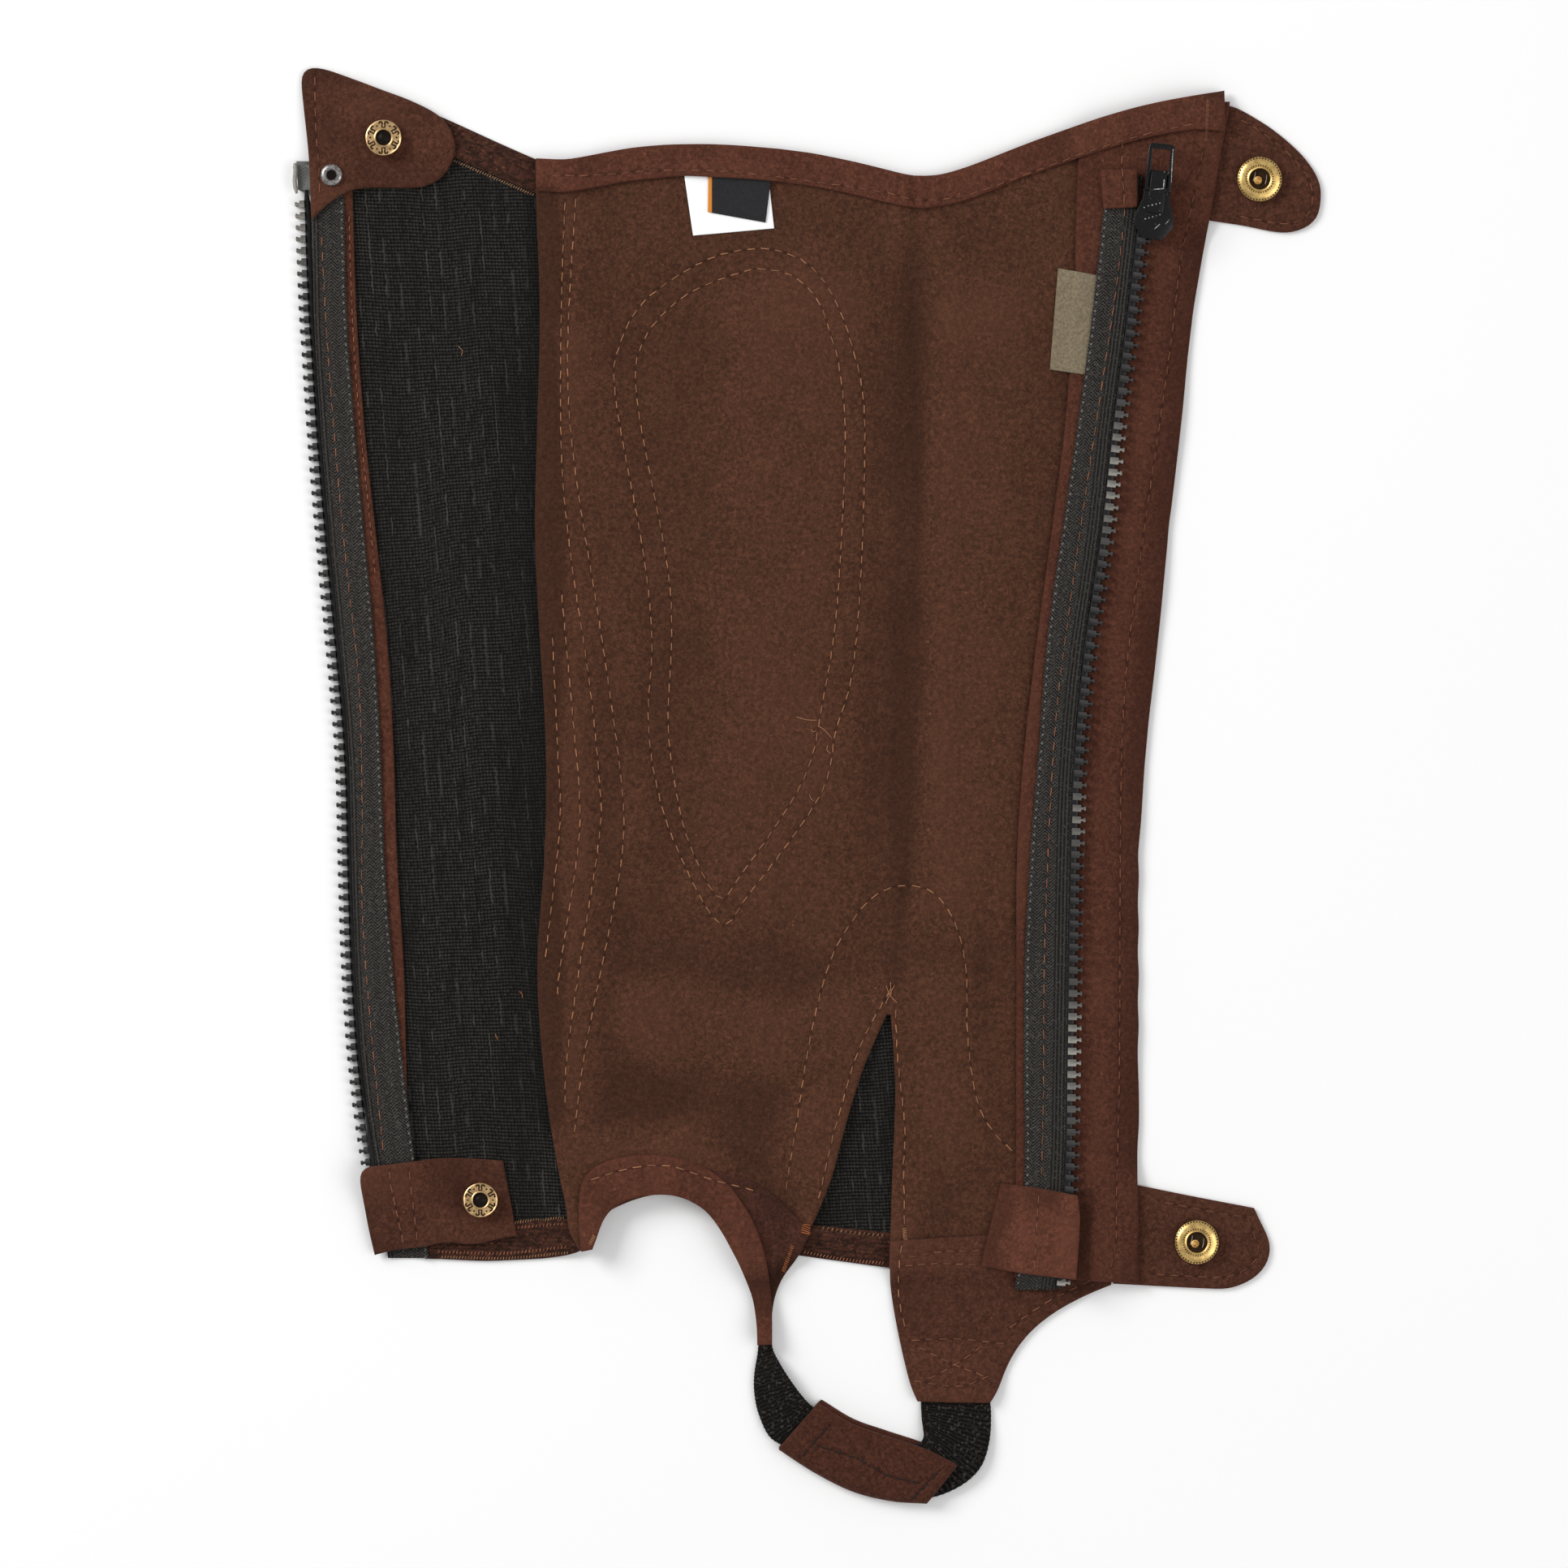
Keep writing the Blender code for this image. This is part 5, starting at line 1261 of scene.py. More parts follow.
def gunmetal_finish():
    """Worn gunmetal of the eyelet."""
    base = colours().gunmetal
    finish = Finish("gunmetal", 0.34, 1.0)
    worn = finish.noise(1500, 3.0)
    finish.bump(worn, 0.00005, 0.6)
    return finish.colour(finish.ground(base, worn, 0.35, 0.6, 0.45, 1.15))


def lacquer_finish():
    """Glossy black lacquer with a little dust."""
    finish = Finish("lacquer", 0.2, specular_ior_level=0.3)
    dust = finish.span(finish.noise(1500), 0.66, 0.78, 0.0, 0.5)
    finish.bump(finish.noise(900, 3.0), 0.00006, 0.4)
    return finish.colour(finish.mixed(dust, from_screen(13, 12, 13), from_screen(104, 100, 96)))


def painted_highlight_finish():
    """Painted highlight on ridges and dots of the black lacquer, a mottled light grey."""
    return mottled("worn_lacquer", 0.35, 1600, from_screen(96, 94, 92), from_screen(196, 194, 190), low=0.35,
                   high=0.65, specular_ior_level=0.5)


def black_hole_finish():
    """Blackened metal in the middle of a stud back, and painted shade in the eyelet's hole."""
    return mottled("black_core", 0.4, 1500, from_screen(6, 5, 5), from_screen(34, 26, 20),
                   specular_ior_level=0.08)


def label_finish(name, rgb, weft, roughness, depth, selvedge):
    """A woven label: fine weave, faint clouding and, where it has one, a coloured selvedge."""
    finish = Finish(name, roughness, specular_ior_level=0.25, sheen_weight=0.08)
    lines = finish.noise((1400, weft, 1400))
    colour = finish.ground(rgb, lines, 0.35, 0.65, 1 - 0.26 * depth, 1 + 0.16 * depth)
    colour = finish.tinted(colour, rgb, (finish.noise(160, 3.0), 0.4, 0.7, 0.86, 0.3 * depth))
    if selvedge:
        colour = finish.shaded(colour, finish.attribute("selvedge"), -0.1, 0.1, selvedge)
    finish.bump(lines, 0.00012, 0.6 * depth)
    return finish.colour(colour)


def knit_ribs(x, y):
    """Height of the rib knit's wavy crosswise ribs."""
    pitch = sizes().rib_pitch / MM
    drift = 0.35 * np.sin(x / 6.3 + 0.6 * np.sin(y / 31)) + 0.15 * np.sin(x / 2.7 + y / 19)
    drift -= 0.11 * (x + 95) * np.exp(-((y - 50) / 60) ** 2)
    return 0.5 * (1 + np.cos(2 * math.pi * (y + drift) / pitch))


def lay_ribbed(name, thickness, finish, slot, cell, reach, limp, rib, height):
    """Lay a ribbed cloth; rib gives the share of the ribs' height at points."""
    piece, _ = cloth(name, thickness, finish, slot, cell, reach, limp, ribs=lambda x, y: height * rib(x, y))
    values_on(piece.data, "rib", rib(*points_of(piece)[:, :2].T))


def lay_knit():
    """The stretch panel beside the left zip and the ankle gusset."""
    finish = knit_finish()
    height = sizes().rib_height / MM
    for name in ("stretch_panel", "gusset_panel"):
        lay_ribbed(name, KNIT, finish, "rib_knit", (2.0, 0.26), 3.0, 0.5, knit_ribs, height)


def lay_elastics():
    """Brown woven elastic at the knit's upper, lower and gusset edges, each with its slope."""
    finish = elastic_finish()
    for name, slope in (("stretch_top_elastic", -0.42), ("stretch_bottom_elastic", -0.02),
                        ("gusset_elastic", -0.12)):
        def rib(x, y):
            return 0.5 * (1 + np.cos(2 * math.pi * (y - slope * x) / ELASTIC_RIB_PITCH))

        lay_ribbed(name, ELASTIC, finish, "woven_elastic", (1.2, 0.35), 1.5, 0.3, rib, ELASTIC_RIB_HEIGHT)


def slab(mid, half):
    """Closed wall round a grid of middle points; half is the half thickness at each."""
    rows, columns = mid.shape[:2]
    along = np.gradient(mid, axis=0)
    across = np.gradient(mid, axis=1)
    normal = np.cross(across, along)
    normal /= np.maximum(np.linalg.norm(normal, axis=2, keepdims=True), 1e-9)
    high = mid + normal * half[..., None]
    low = mid - normal * half[..., None]
    index = np.arange(rows * columns).reshape(rows, columns)
    under = index + rows * columns
    faces = []
    for i in range(rows - 1):
        for j in range(columns - 1):
            faces.append((index[i, j], index[i + 1, j], index[i + 1, j + 1], index[i, j + 1]))
            faces.append((under[i, j], under[i, j + 1], under[i + 1, j + 1], under[i + 1, j]))
    border = [(0, j) for j in range(columns)] + [(i, columns - 1) for i in range(1, rows)]
    border += [(rows - 1, j) for j in range(columns - 2, -1, -1)] + [(i, 0) for i in range(rows - 2, 0, -1)]
    ring = []
    for i, j in border:
        inner = mid[min(max(i, 1), rows - 2), min(max(j, 1), columns - 2)]
        out = mid[i, j] - inner
        ring.append(mid[i, j] + out / max(np.linalg.norm(out), 1e-9) * half[i, j] * 0.7)
    base = 2 * rows * columns
    for k, (i, j) in enumerate(border):
        p, q = border[k - 1]
        before = base + (k - 1) % len(border)
        faces.append((index[p, q], index[i, j], base + k, before))
        faces.append((before, base + k, under[i, j], under[p, q]))
    points = np.concatenate([high.reshape(-1, 3), low.reshape(-1, 3), np.array(ring)])
    return points, faces, border


def all_round(values, border, at_edge):
    """Values of a grid of middle points for both faces of its slab, and one value for the wall between."""
    return np.concatenate([values.ravel(), values.ravel(), np.full(len(border), at_edge)])


def facing_out(mesh):
    """Make a closed mesh's faces point outwards."""
    shape = bmesh.new()
    shape.from_mesh(mesh)
    bmesh.ops.recalc_face_normals(shape, faces=shape.faces[:])
    shape.to_mesh(mesh)
    shape.free()


def lay_wall(points):
    """Raise the pile to a freely shaped piece's points."""
    cell = np.round((points[:, :2] - np.array(MAP_LOW)) / CELL).astype(int)
    for (i, j), z in zip(cell, points[:, 2]):
        patch = pile.top[j - 1:j + 2, i - 1:i + 2]
        np.maximum(patch, z, out=patch)


def lay_strap():
    """The under-foot elastic, with crosswise ribs, twisted at its neck."""
    edges = [np.array(smooth_line(edge, parts=STRAP_PARTS)) for edge in zip(*STRAP_ROWS)]
    rows = int(np.linalg.norm(np.diff(edges[1], axis=0), axis=1).sum() / STRAP_STEP)
    places = np.linspace(0, 1, len(edges[0]))
    share = np.linspace(0, 1, rows)
    edges = [np.column_stack([np.interp(share, places, edge[:, k]) for k in range(3)]) for edge in edges]
    middle = (edges[0] + edges[1]) / 2
    step = np.linalg.norm(np.diff(middle, axis=0), axis=1)
    travelled = np.concatenate([[0.0], np.cumsum(step)])
    side = np.linspace(0, 1, STRAP_COLUMNS)
    mid = edges[0][:, None, :] * (1 - side)[None, :, None] + edges[1][:, None, :] * side[None, :, None]
    pitch = sizes().strap_rib_pitch / MM
    rib = 0.5 * (1 + np.cos(2 * math.pi * (travelled[:, None] / pitch + 0.12 * np.sin(side * 25)[None, :])))
    half = STRAP / 2 - STRAP_RIB + STRAP_RIB * rib
    points, faces, border = slab(mid, half)
    mesh = mesh_of("strap_elastic", points, faces)
    facing_out(mesh)
    width = np.linalg.norm(edges[1] - edges[0], axis=1)
    weave = (np.outer(width, side), np.repeat(travelled, STRAP_COLUMNS))
    places_on(mesh, "weave", np.column_stack([all_round(part, border, 0.0) for part in weave]))
    values_on(mesh, "rib", all_round(rib, border, 1.0))
    piece = new_piece("strap_elastic_cloth", mesh, strap_finish(), "strap_elastic", "strap_elastic")
    lay_wall(points)


def lay_sleeve():
    """The suede sleeve folded round the strap, its upper layer set back from the lower one's lip."""
    open_edge, fold_edge = (np.array(smooth_line(edge, parts=SLEEVE_PARTS))
                            for edge in (SLEEVE_OPEN_EDGE, SLEEVE_FOLD_EDGE))
    bottom = SLEEVE / 2 + 0.03
    top = 2 * STRAP_MIDDLE - bottom
    bend = (top - bottom) / 2
    section = [(share, bottom, 0.0) for share in np.linspace(0, 1, 22)[:-1]]
    for turn in np.linspace(0, math.pi, 13):
        section.append((1.0, bottom + bend - bend * math.cos(turn), math.sin(turn)))
    section += [(share, top, 0.0) for share in np.linspace(1, SLEEVE_LIP, 40)[1:]]
    mid = np.zeros((len(open_edge), len(section), 3))
    for row, (start, end) in enumerate(zip(open_edge, fold_edge)):
        across = (end - start) / np.linalg.norm(end - start)
        end = end - across * (bend + SLEEVE / 2)
        for column, (share, z, bulge) in enumerate(section):
            place = start + (end - start) * share + across * bulge * bend
            puff = 0.25 * math.sin(row / 11.0 + column / 14.0) if z == top else 0.0
            mid[row, column] = (*place, z + 0.2 + puff if z == top else z)
    points, faces, border = slab(mid, np.full(mid.shape[:2], SLEEVE / 2))
    seam = np.where(points[:, 2] > top, pulls(groove_samples("strap_sleeve"), points[:, :2]), 0.0)
    points[:, 2] -= SLEEVE_GROOVE * seam
    mesh = mesh_of("strap_sleeve", points, faces)
    facing_out(mesh)
    shares = np.repeat(np.array([s for s, _, _ in section])[None, :], len(open_edge), 0)
    edge = np.where(shares < SLEEVE_LIP + 0.05, 1.0, 0.0)
    edge[[0, 1, -2, -1], :] = 0.8
    values_on(mesh, "edge", all_round(edge, border, 1.0))
    values_on(mesh, "seam", seam)
    piece = new_piece("strap_sleeve_cloth", mesh, suede_finish("sleeve_suede"), "suede", "strap_sleeve")
    lay_wall(points)


def neck_folds(x, y):
    """Lengthwise folds of the strap's narrow neck."""
    low = np.clip((-118 - y) / 14, 0, 1)
    return low * 0.45 * np.cos((x + 12 - 0.12 * (y + 150)) * 2 * math.pi / 3.1)


def band_creases(x, y):
    """Soft crosswise creases round the foot arch."""
    return sum(fold.height * ridge(fold, x, y) for fold in BAND_CREASES)


def tape_shape(edge_of, side):
    """Lift of a zip tape towards its teeth, which hold it at half their height."""
    def lift(x, y):
        away = (x - edge_of(y)) * side
        return 0.62 * np.exp(-np.clip(away, 0, None) / 2.2)
    return lift


def lay_zip_half(half):
    """One zip tape with its row of moulded teeth."""
    tape_rim, teeth_rim = (smooth_loop(rim("zip_%s_%s" % (part, half.name)), OUTLINE_STEP)
                           for part in ("tape", "teeth"))
    inner = edge_at(tape_rim, half.teeth_left)
    selvage = edge_at(tape_rim, not half.teeth_left)
    side = 1 if half.teeth_left else -1
    piece, _ = cloth("zip_tape_" + half.name, TAPE, tape_finish(), "zip_tape", (1.0, 1.0), 1.0, 0.25,
                     shape=tape_shape(inner, side))
    x, y = points_of(piece)[:, :2].T
    from_teeth = np.abs(x - inner(y)) + half.band_cut
    places_on(piece.data, "weave", np.column_stack([from_teeth, y, np.abs(x - selvage(y))]))
    # Where the painted highlight on the bare end lies
    values_on(piece.data, "pale", (x < HIGHLIGHT_END[0]) & (y > HIGHLIGHT_END[1]))
    lay_teeth(half, teeth_rim, side)


def lay_teeth(half, outline, side):
    """A row of moulded teeth, and the tape's corded edge, which shows dark between them, darkened further by
    painted shade.
    """
    left = edge_at(outline, True)
    right = edge_at(outline, False)

    def outer(y):
        lean = TOP_LEAN * np.clip((y - LEAN_FROM) / LEAN_OVER, 0, 1)
        return float(left(y) - lean if half.teeth_left else right(y))

    mask = pile.inside(outline)
    bed = pile.bed(mask, 1.0, 0.0)
    under = pile.spread(bed, mask)
    bottom, *_, top = sorted(y for _, y in outline)
    pitch = sizes().tooth_pitch / MM
    start = LAST_RIGHT_TOOTH + pitch * math.floor((top - 2.0 - LAST_RIGHT_TOOTH) / pitch)
    if half.teeth_left:
        start = FIRST_LEFT_TOOTH
    count = int((start - bottom - 0.5) / pitch) + 1
    template, faces = tooth_template(half.tooth)
    row = Joined()
    fade = []
    for k in range(count):
        y = start - k * pitch
        x = outer(y)
        ahead = Vector((outer(y - 2) - outer(y + 2), -4.0)).normalized()
        into = Vector((-ahead.y, ahead.x)) * side
        z = float(pile.height(under, x + side * TOOTH_GRIP, y))
        tooth = []
        for across, forward, up in template:
            place = Vector((x, y)) + into * across - ahead * forward
            tooth.append((place.x, place.y, z + up))
        row.add(tooth, faces)
        # Painted reflection: grey on the top teeth of the left row, fading down it, and on runs of the right
        # row
        fade += [max(0.0, 0.7 - k / 10) if half.teeth_left else painted_reflection_run(y)] * len(template)
    # Painted highlight on the teeth's upper edges
    lit = [1.0 if up > TOOTH_HEIGHT - 0.25 and forward > 0.15 else 0.0 for _, forward, up in template] * count
    cord = []
    for y in np.arange(start + half.cord_start * pitch, start - (count - 0.1) * pitch, -pitch):
        x = outer(y) + side * half.cord_inset
        cord.append((x, y, float(pile.height(under, x, y)) + CORD_LIFT))
    # Painted shade on the cord; painted highlight on the left row's stop
    rods = [(bead(cord, half.cord_radius, 8, 0.6), -1.0)]
    if half.teeth_left:
        stop = [(x, y, float(pile.height(under, x + 1.0, y)) + 1.0) for x, y in smooth_line(LEFT_STOP)]
        rods.append((bead(stop, 0.62, 10, 1.5), 0.8))
    for (points, rod_faces), tone in rods:
        row.add(points, rod_faces)
        fade += [tone] * len(points)
        lit += [0.0] * len(points)
    mesh = mesh_of("zip_teeth_" + half.name, row.points, row.faces)
    facing_out(mesh)
    mesh.set_sharp_from_angle(angle=math.radians(40))
    values_on(mesh, "fade", fade)
    values_on(mesh, "lit", lit)
    new_piece("zip_teeth_%s_row" % half.name, mesh, teeth_finish(), "zip_teeth", "zip_teeth_" + half.name)
    pile.lay(mask, bed + TOOTH_HEIGHT)


def painted_reflection_run(y):
    """Painted reflection on the teeth of the right row at a height: four runs of them catch the light and are
    painted grey.
    """
    runs = ((0.75, 86, 14), (0.5, -9, 7), (0.8, -74, 14), (1.0, -138, 1.5))
    return min(1.0, sum(share * math.exp(-((y - middle) / width) ** 2) for share, middle, width in runs))


def tooth_template(end):
    """One moulded tooth: head at the outer edge, neck, and a body that grips the tape."""
    half = [(0.0, 0.36), (0.12, 0.6), (0.5, 0.6), (0.66, 0.36), (1.25, 0.38), (1.36, 0.98), (end, 0.98)]
    outline = half + [(x, -y) for x, y in reversed(half)]
    shape = bmesh.new()
    face = shape.faces.new([shape.verts.new((x, y, 0.0)) for x, y in outline])
    top = bmesh.ops.extrude_face_region(shape, geom=[face])["geom"]
    raised = [v for v in top if isinstance(v, bmesh.types.BMVert)]
    bmesh.ops.translate(shape, vec=(0, 0, TOOTH_HEIGHT), verts=raised)
    shape.edges.ensure_lookup_table()
    upper = [e for e in shape.edges if all(v.co.z > TOOTH_HEIGHT / 2 for v in e.verts)]
    bmesh.ops.bevel(shape, geom=upper, offset=0.2, segments=2, affect="EDGES", profile=0.5)
    shape.verts.index_update()
    points = [tuple(v.co) for v in shape.verts]
    faces = [tuple(v.index for v in f.verts) for f in shape.faces]
    shape.free()
    return points, faces


def lay_label(name, rgb, cell, limp, weave, selvedge=None):
    """Lay a woven label; weave holds its weft, roughness and depth."""
    piece, _ = cloth(name, LABEL, label_finish(name, rgb, *weave, selvedge), name, (cell, cell), 1.0, limp)
    if selvedge:
        values_on(piece.data, "selvedge", SELVEDGE - points_of(piece)[:, 0])


def binding_puckers(x, y):
    """Puckers where the binding turns round the dip in the knee edge."""
    near = np.exp(-((x - 31) / 5) ** 2)
    return near * 0.75 * np.cos((x - 31) * 2 * math.pi / 4.2) + 0.08 * np.sin(x / 1.9 + 0.5 * np.sin(x / 7))


# Suede pieces: thickness, suede, slot, cell of the mesh, reach over what lies below, limpness and shape
SuedePiece = namedtuple("SuedePiece", "thickness suede slot cell reach limp shape", defaults=(None,))
SUEDE_PIECES = {
    "tab_top_right": SuedePiece(SUEDE, "tab_suede", "suede", 1.2, 2.0, 0.4),
    "tab_bottom_right": SuedePiece(SUEDE, "tab_suede", "suede", 1.2, 2.0, 0.4),
    "main_panel": SuedePiece(SUEDE, "main_suede", "suede", 1.7, 3.0, 1.0),
    "foot_yoke": SuedePiece(SUEDE, "yoke_suede", "suede", 1.4, 1.5, 0.6),
    "strap_root": SuedePiece(SUEDE, "root_suede", "suede", 1.1, 1.5, 0.4, neck_folds),
    "arch_band": SuedePiece(BINDING, "band_suede", "binding_suede", 1.1, 1.5, 0.5, band_creases),
    "zip_flap": SuedePiece(FLAP_SUEDE, "flap_suede", "binding_suede", 1.5, 2.5, 0.8),
    "zip_strip_left": SuedePiece(PATCH_SUEDE, "strip_suede", "suede", 1.4, 1.0, 0.4),
    "zip_top_patch": SuedePiece(PATCH_SUEDE, "upper_patch_suede", "binding_suede", 1.0, 1.5, 0.3),
    "zip_bottom_patch": SuedePiece(PATCH_SUEDE, "patch_suede", "binding_suede", 1.0, 2.5, 0.6),
    "top_binding": SuedePiece(BINDING, "binding_suede", "binding_suede", 1.2, 1.5, 0.5, binding_puckers),
    "tab_top_left": SuedePiece(SUEDE, "left_tab_suede", "suede", 1.1, 2.5, 0.6),
    "tab_bottom_left": SuedePiece(SUEDE, "left_tab_suede", "suede", 1.1, 2.5, 0.8),
}


def lay_suede(*names):
    """Lay pieces of suede, each as its row says."""
    for name in names:
        row = SUEDE_PIECES[name]
        finish = suede_finish(row.suede)
        cloth(name, row.thickness, finish, row.slot, (row.cell, row.cell), row.reach, row.limp, row.shape)


def turned(profile, steps, width=1.0):
    """Points and faces of a turned shape, its profile from the middle outwards and down."""
    points = []
    starts = []
    for radius, z in profile:
        starts.append(len(points))
        for k in range(steps if radius else 1):
            points.append(round_from((0.0, 0.0, 0.0), radius * width, 2 * math.pi * k / steps, z))
    faces = []
    for row in range(len(profile) - 1):
        a, b = starts[row], starts[row + 1]
        for k in range(steps):
            n = (k + 1) % steps
            if profile[row][0] == 0:
                faces.append((a, b + k, b + n))
            elif profile[row + 1][0] == 0:
                faces.append((a + k, b, a + n))
            else:
                faces.append((a + k, b + k, b + n, a + n))
    return points, faces


class Joined:
    """Shapes gathered into one mesh, each with its own material."""

    def __init__(self):
        self.points = []
        self.faces = []
        self.kinds = []

    def add(self, points, faces, place=(0.0, 0.0, 0.0), kind=0):
        """Add a shape moved to a place."""
        base = len(self.points)
        self.points += [(x + place[0], y + place[1], z + place[2]) for x, y, z in points]
        self.faces += [tuple(base + i for i in face) for face in faces]
        self.kinds += [kind] * len(faces)

    def piece(self, name, materials, slot, *nodes, body="garment"):
        """Make the piece."""
        mesh = mesh_of(name, self.points, self.faces)
        facing_out(mesh)
        mesh.set_sharp_from_angle(angle=math.radians(35))
        piece = new_piece(name, mesh, materials[0], slot, *nodes, body=body)
        for material in materials[1:]:
            mesh.materials.append(material)
        mesh.polygons.foreach_set("material_index", self.kinds)
        return piece


def bead(path, radius, sides=6, flat=1.0):
    """A thin closed rod along a path of points."""
    path = [Vector(p) for p in path]
    points = []
    faces = []
    for k, here in enumerate(path):
        ahead = (path[min(k + 1, len(path) - 1)] - path[max(k - 1, 0)]).normalized()
        side = Vector((-ahead.y, ahead.x, 0.0))
        side = side.normalized() if side.length > 1e-6 else Vector((1.0, 0.0, 0.0))
        up = ahead.cross(side) * -1
        size = radius * (0.55 if k in (0, len(path) - 1) else 1.0)
        for n in range(sides):
            turn = 2 * math.pi * n / sides
            points.append(tuple(here + side * (size * math.cos(turn)) + up * (size * flat * math.sin(turn))))
        if k:
            base = (k - 1) * sides
            faces += [(base + n, base + (n + 1) % sides, base + sides + (n + 1) % sides, base + sides + n)
                      for n in range(sides)]
    last = (len(path) - 1) * sides
    faces.append(tuple(range(sides - 1, -1, -1)))
    faces.append(tuple(range(last, last + sides)))
    return points, faces


def seat(node, x, y):
    """Place on the pile where a piece of hardware sits, no lower than its node."""
    return x, y, max(pile.level(x, y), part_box(node)[0].z / MM)


def round_from(middle, radius, angle, rise):
    """Place at a radius and an angle from a middle, and so much higher."""
    return middle[0] + radius * math.cos(angle), middle[1] + radius * math.sin(angle), middle[2] + rise


def lay_stud_backs():
    """Ornamented backs of the studs on the left tabs, with scrolls and dots round a dark core."""
    brass = brass_finish("brass", colours().brass)
    patina = patina_finish()
    core = black_hole_finish()
    scroll = [(0.0, 2.78), (0.42, 2.92), (0.4, 3.4), (0.38, 4.05), (0.72, 4.4), (1.14, 4.18), (1.16, 3.78)]
    half = smooth_line(scroll, 0.18)
    path = [(-x, y) for x, y in reversed(half[1:])] + half
    for place in STUD_BACKS:
        r = place.radius / 5.05
        here = seat("stud_back_" + place.name, place.x, place.y)
        shape = Joined()
        ring = [(2.12, -0.2), (2.12, 0.35), (2.2, 0.72), (2.42, 0.86), (2.62, 0.78), (2.78, 0.6), (3.2, 0.62),
                (4.2, 0.56), (4.5, 0.56), (4.68, 0.64), (4.9, 0.55), (5.05, 0.2), (5.0, -0.2), (2.12, -0.2)]
        shape.add(*turned(ring, 96, r), here)
        dish = [(0, 0.34), (0.5, 0.31), (1.1, 0.16), (1.3, 0.02), (2.14, 0.0), (2.14, -0.2), (0, -0.2)]
        shape.add(*turned(dish, 48, r), here, 2)
        for turn in range(6):
            angle = math.radians(60 * turn + 90)
            cos = math.cos(angle)
            sin = math.sin(angle)
            rod = [(r * (y * cos - x * sin), r * (y * sin + x * cos), 0.58) for x, y in path]
            shape.add(*bead(rod, 0.25, 6, 0.4), here, 1)
            dot = round_from(here, 3.62 * r, angle + math.radians(30), 0.6)
            shape.add(*turned([(0, 0.06), (0.2, 0.04), (0.27, 0.0), (0.27, -0.1), (0, -0.1)], 12), dot, 1)
        node = "stud_back_" + place.name
        shape.piece(node + "_ring", (brass, patina, core), "brass", node)


def lay_sockets():
    """Snap sockets on the right tabs: milled flange, bright collar, springs and inner tube."""
    brass = brass_finish("golden_brass", colours().socket)
    patina = patina_finish()
    steel = mottled("spring_steel", 0.3, 1800, (0.35, 0.33, 0.32), (0.75, 0.72, 0.72), 1.0)
    for place in SOCKETS:
        r = place.radius / 6.15
        here = seat("socket_" + place.name, place.x, place.y)
        shape = Joined()
        flange = [(2.86, 0.1), (2.86, 1.05), (2.98, 1.3), (3.2, 1.38), (3.42, 1.28), (3.56, 1.02),
                  (3.9, 0.98), (4.6, 0.94), (5.2, 0.78), (5.75, 0.5), (6.1, 0.2), (6.15, 0.0), (6.0, -0.15),
                  (2.86, -0.15), (2.86, 0.1)]
        shape.add(*turned(flange, 108, r), here)
        # A dark disc across the socket's hole: painted shade
        shape.add(*turned([(0, 0.06), (2.88, 0.06), (2.88, -0.12), (0, -0.12)], 48, r), here, 1)
        tube = [(0, 0.1), (0.5, 0.12), (0.62, 0.6), (0.8, 0.92), (1.05, 0.95), (1.24, 0.7), (1.3, 0.0),
                (0, 0.0)]
        shape.add(*turned(tube, 48, r), (here[0] - 0.5, here[1] - 0.35, here[2]))
        for radius, count, size, z in ((5.74 * r, 44, 0.27, 0.53), (3.8 * r, 34, 0.2, 1.0)):
            for k in range(count):
                dot = round_from(here, radius, 2 * math.pi * k / count, z)
                shape.add(*turned([(0, 0.07), (size, 0.03), (size, -0.15), (0, -0.15)], 8), dot, 1)
        for x0, y0, x1, y1 in ((-1.2, 1.9, -1.9, -0.6), (1.9, 1.2, 1.5, -1.5)):
            bow = [(x0, y0, 0.75), ((x0 + x1) / 2 + 0.12, (y0 + y1) / 2, 0.85), (x1, y1, 0.75)]
            shape.add(*bead(smooth_line(bow, 0.5), 0.12), here, 2)
        node = "socket_" + place.name
        shape.piece(node + "_ring", (brass, patina, steel), "brass", node)


def lay_plain_hardware():
    """Caps and studs under the tabs, and the gunmetal eyelet by the zip."""
    brass = brass_finish("cap_brass", colours().socket)
    for name in ("cap_top", "cap_bottom", "stud_top", "stud_bottom"):
        node = NODES[name]
        node.data.materials.clear()
        node.data.materials.append(brass)
    low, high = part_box("eyelet")
    here = seat("eyelet", *((low + high) / 2 / MM)[:2])
    shape = Joined()
    ring = [(1.3, 0.0), (1.32, 0.45), (1.6, 0.78), (2.1, 0.86), (2.6, 0.72), (2.95, 0.4), (3.1, 0.05),
            (3.05, -0.1), (1.3, -0.1), (1.3, 0.0)]
    shape.add(*turned(ring, 64), here)
    # A black disc across the eyelet's hole: painted shade
    shape.add(*turned([(0, 0.05), (1.32, 0.05), (1.32, -0.08), (0, -0.08)], 32), here, 1)
    for k in range(5):
        angle = math.radians(72 * k + 20)
        notch = [round_from((0, 0, 0), radius, angle, z) for radius, z in ((1.5, 0.74), (2.7, 0.68))]
        shape.add(*bead(notch, 0.1, 5, 0.5), here, 1)
    shape.piece("eyelet_ring", (gunmetal_finish(), black_hole_finish()), "gunmetal", "eyelet")


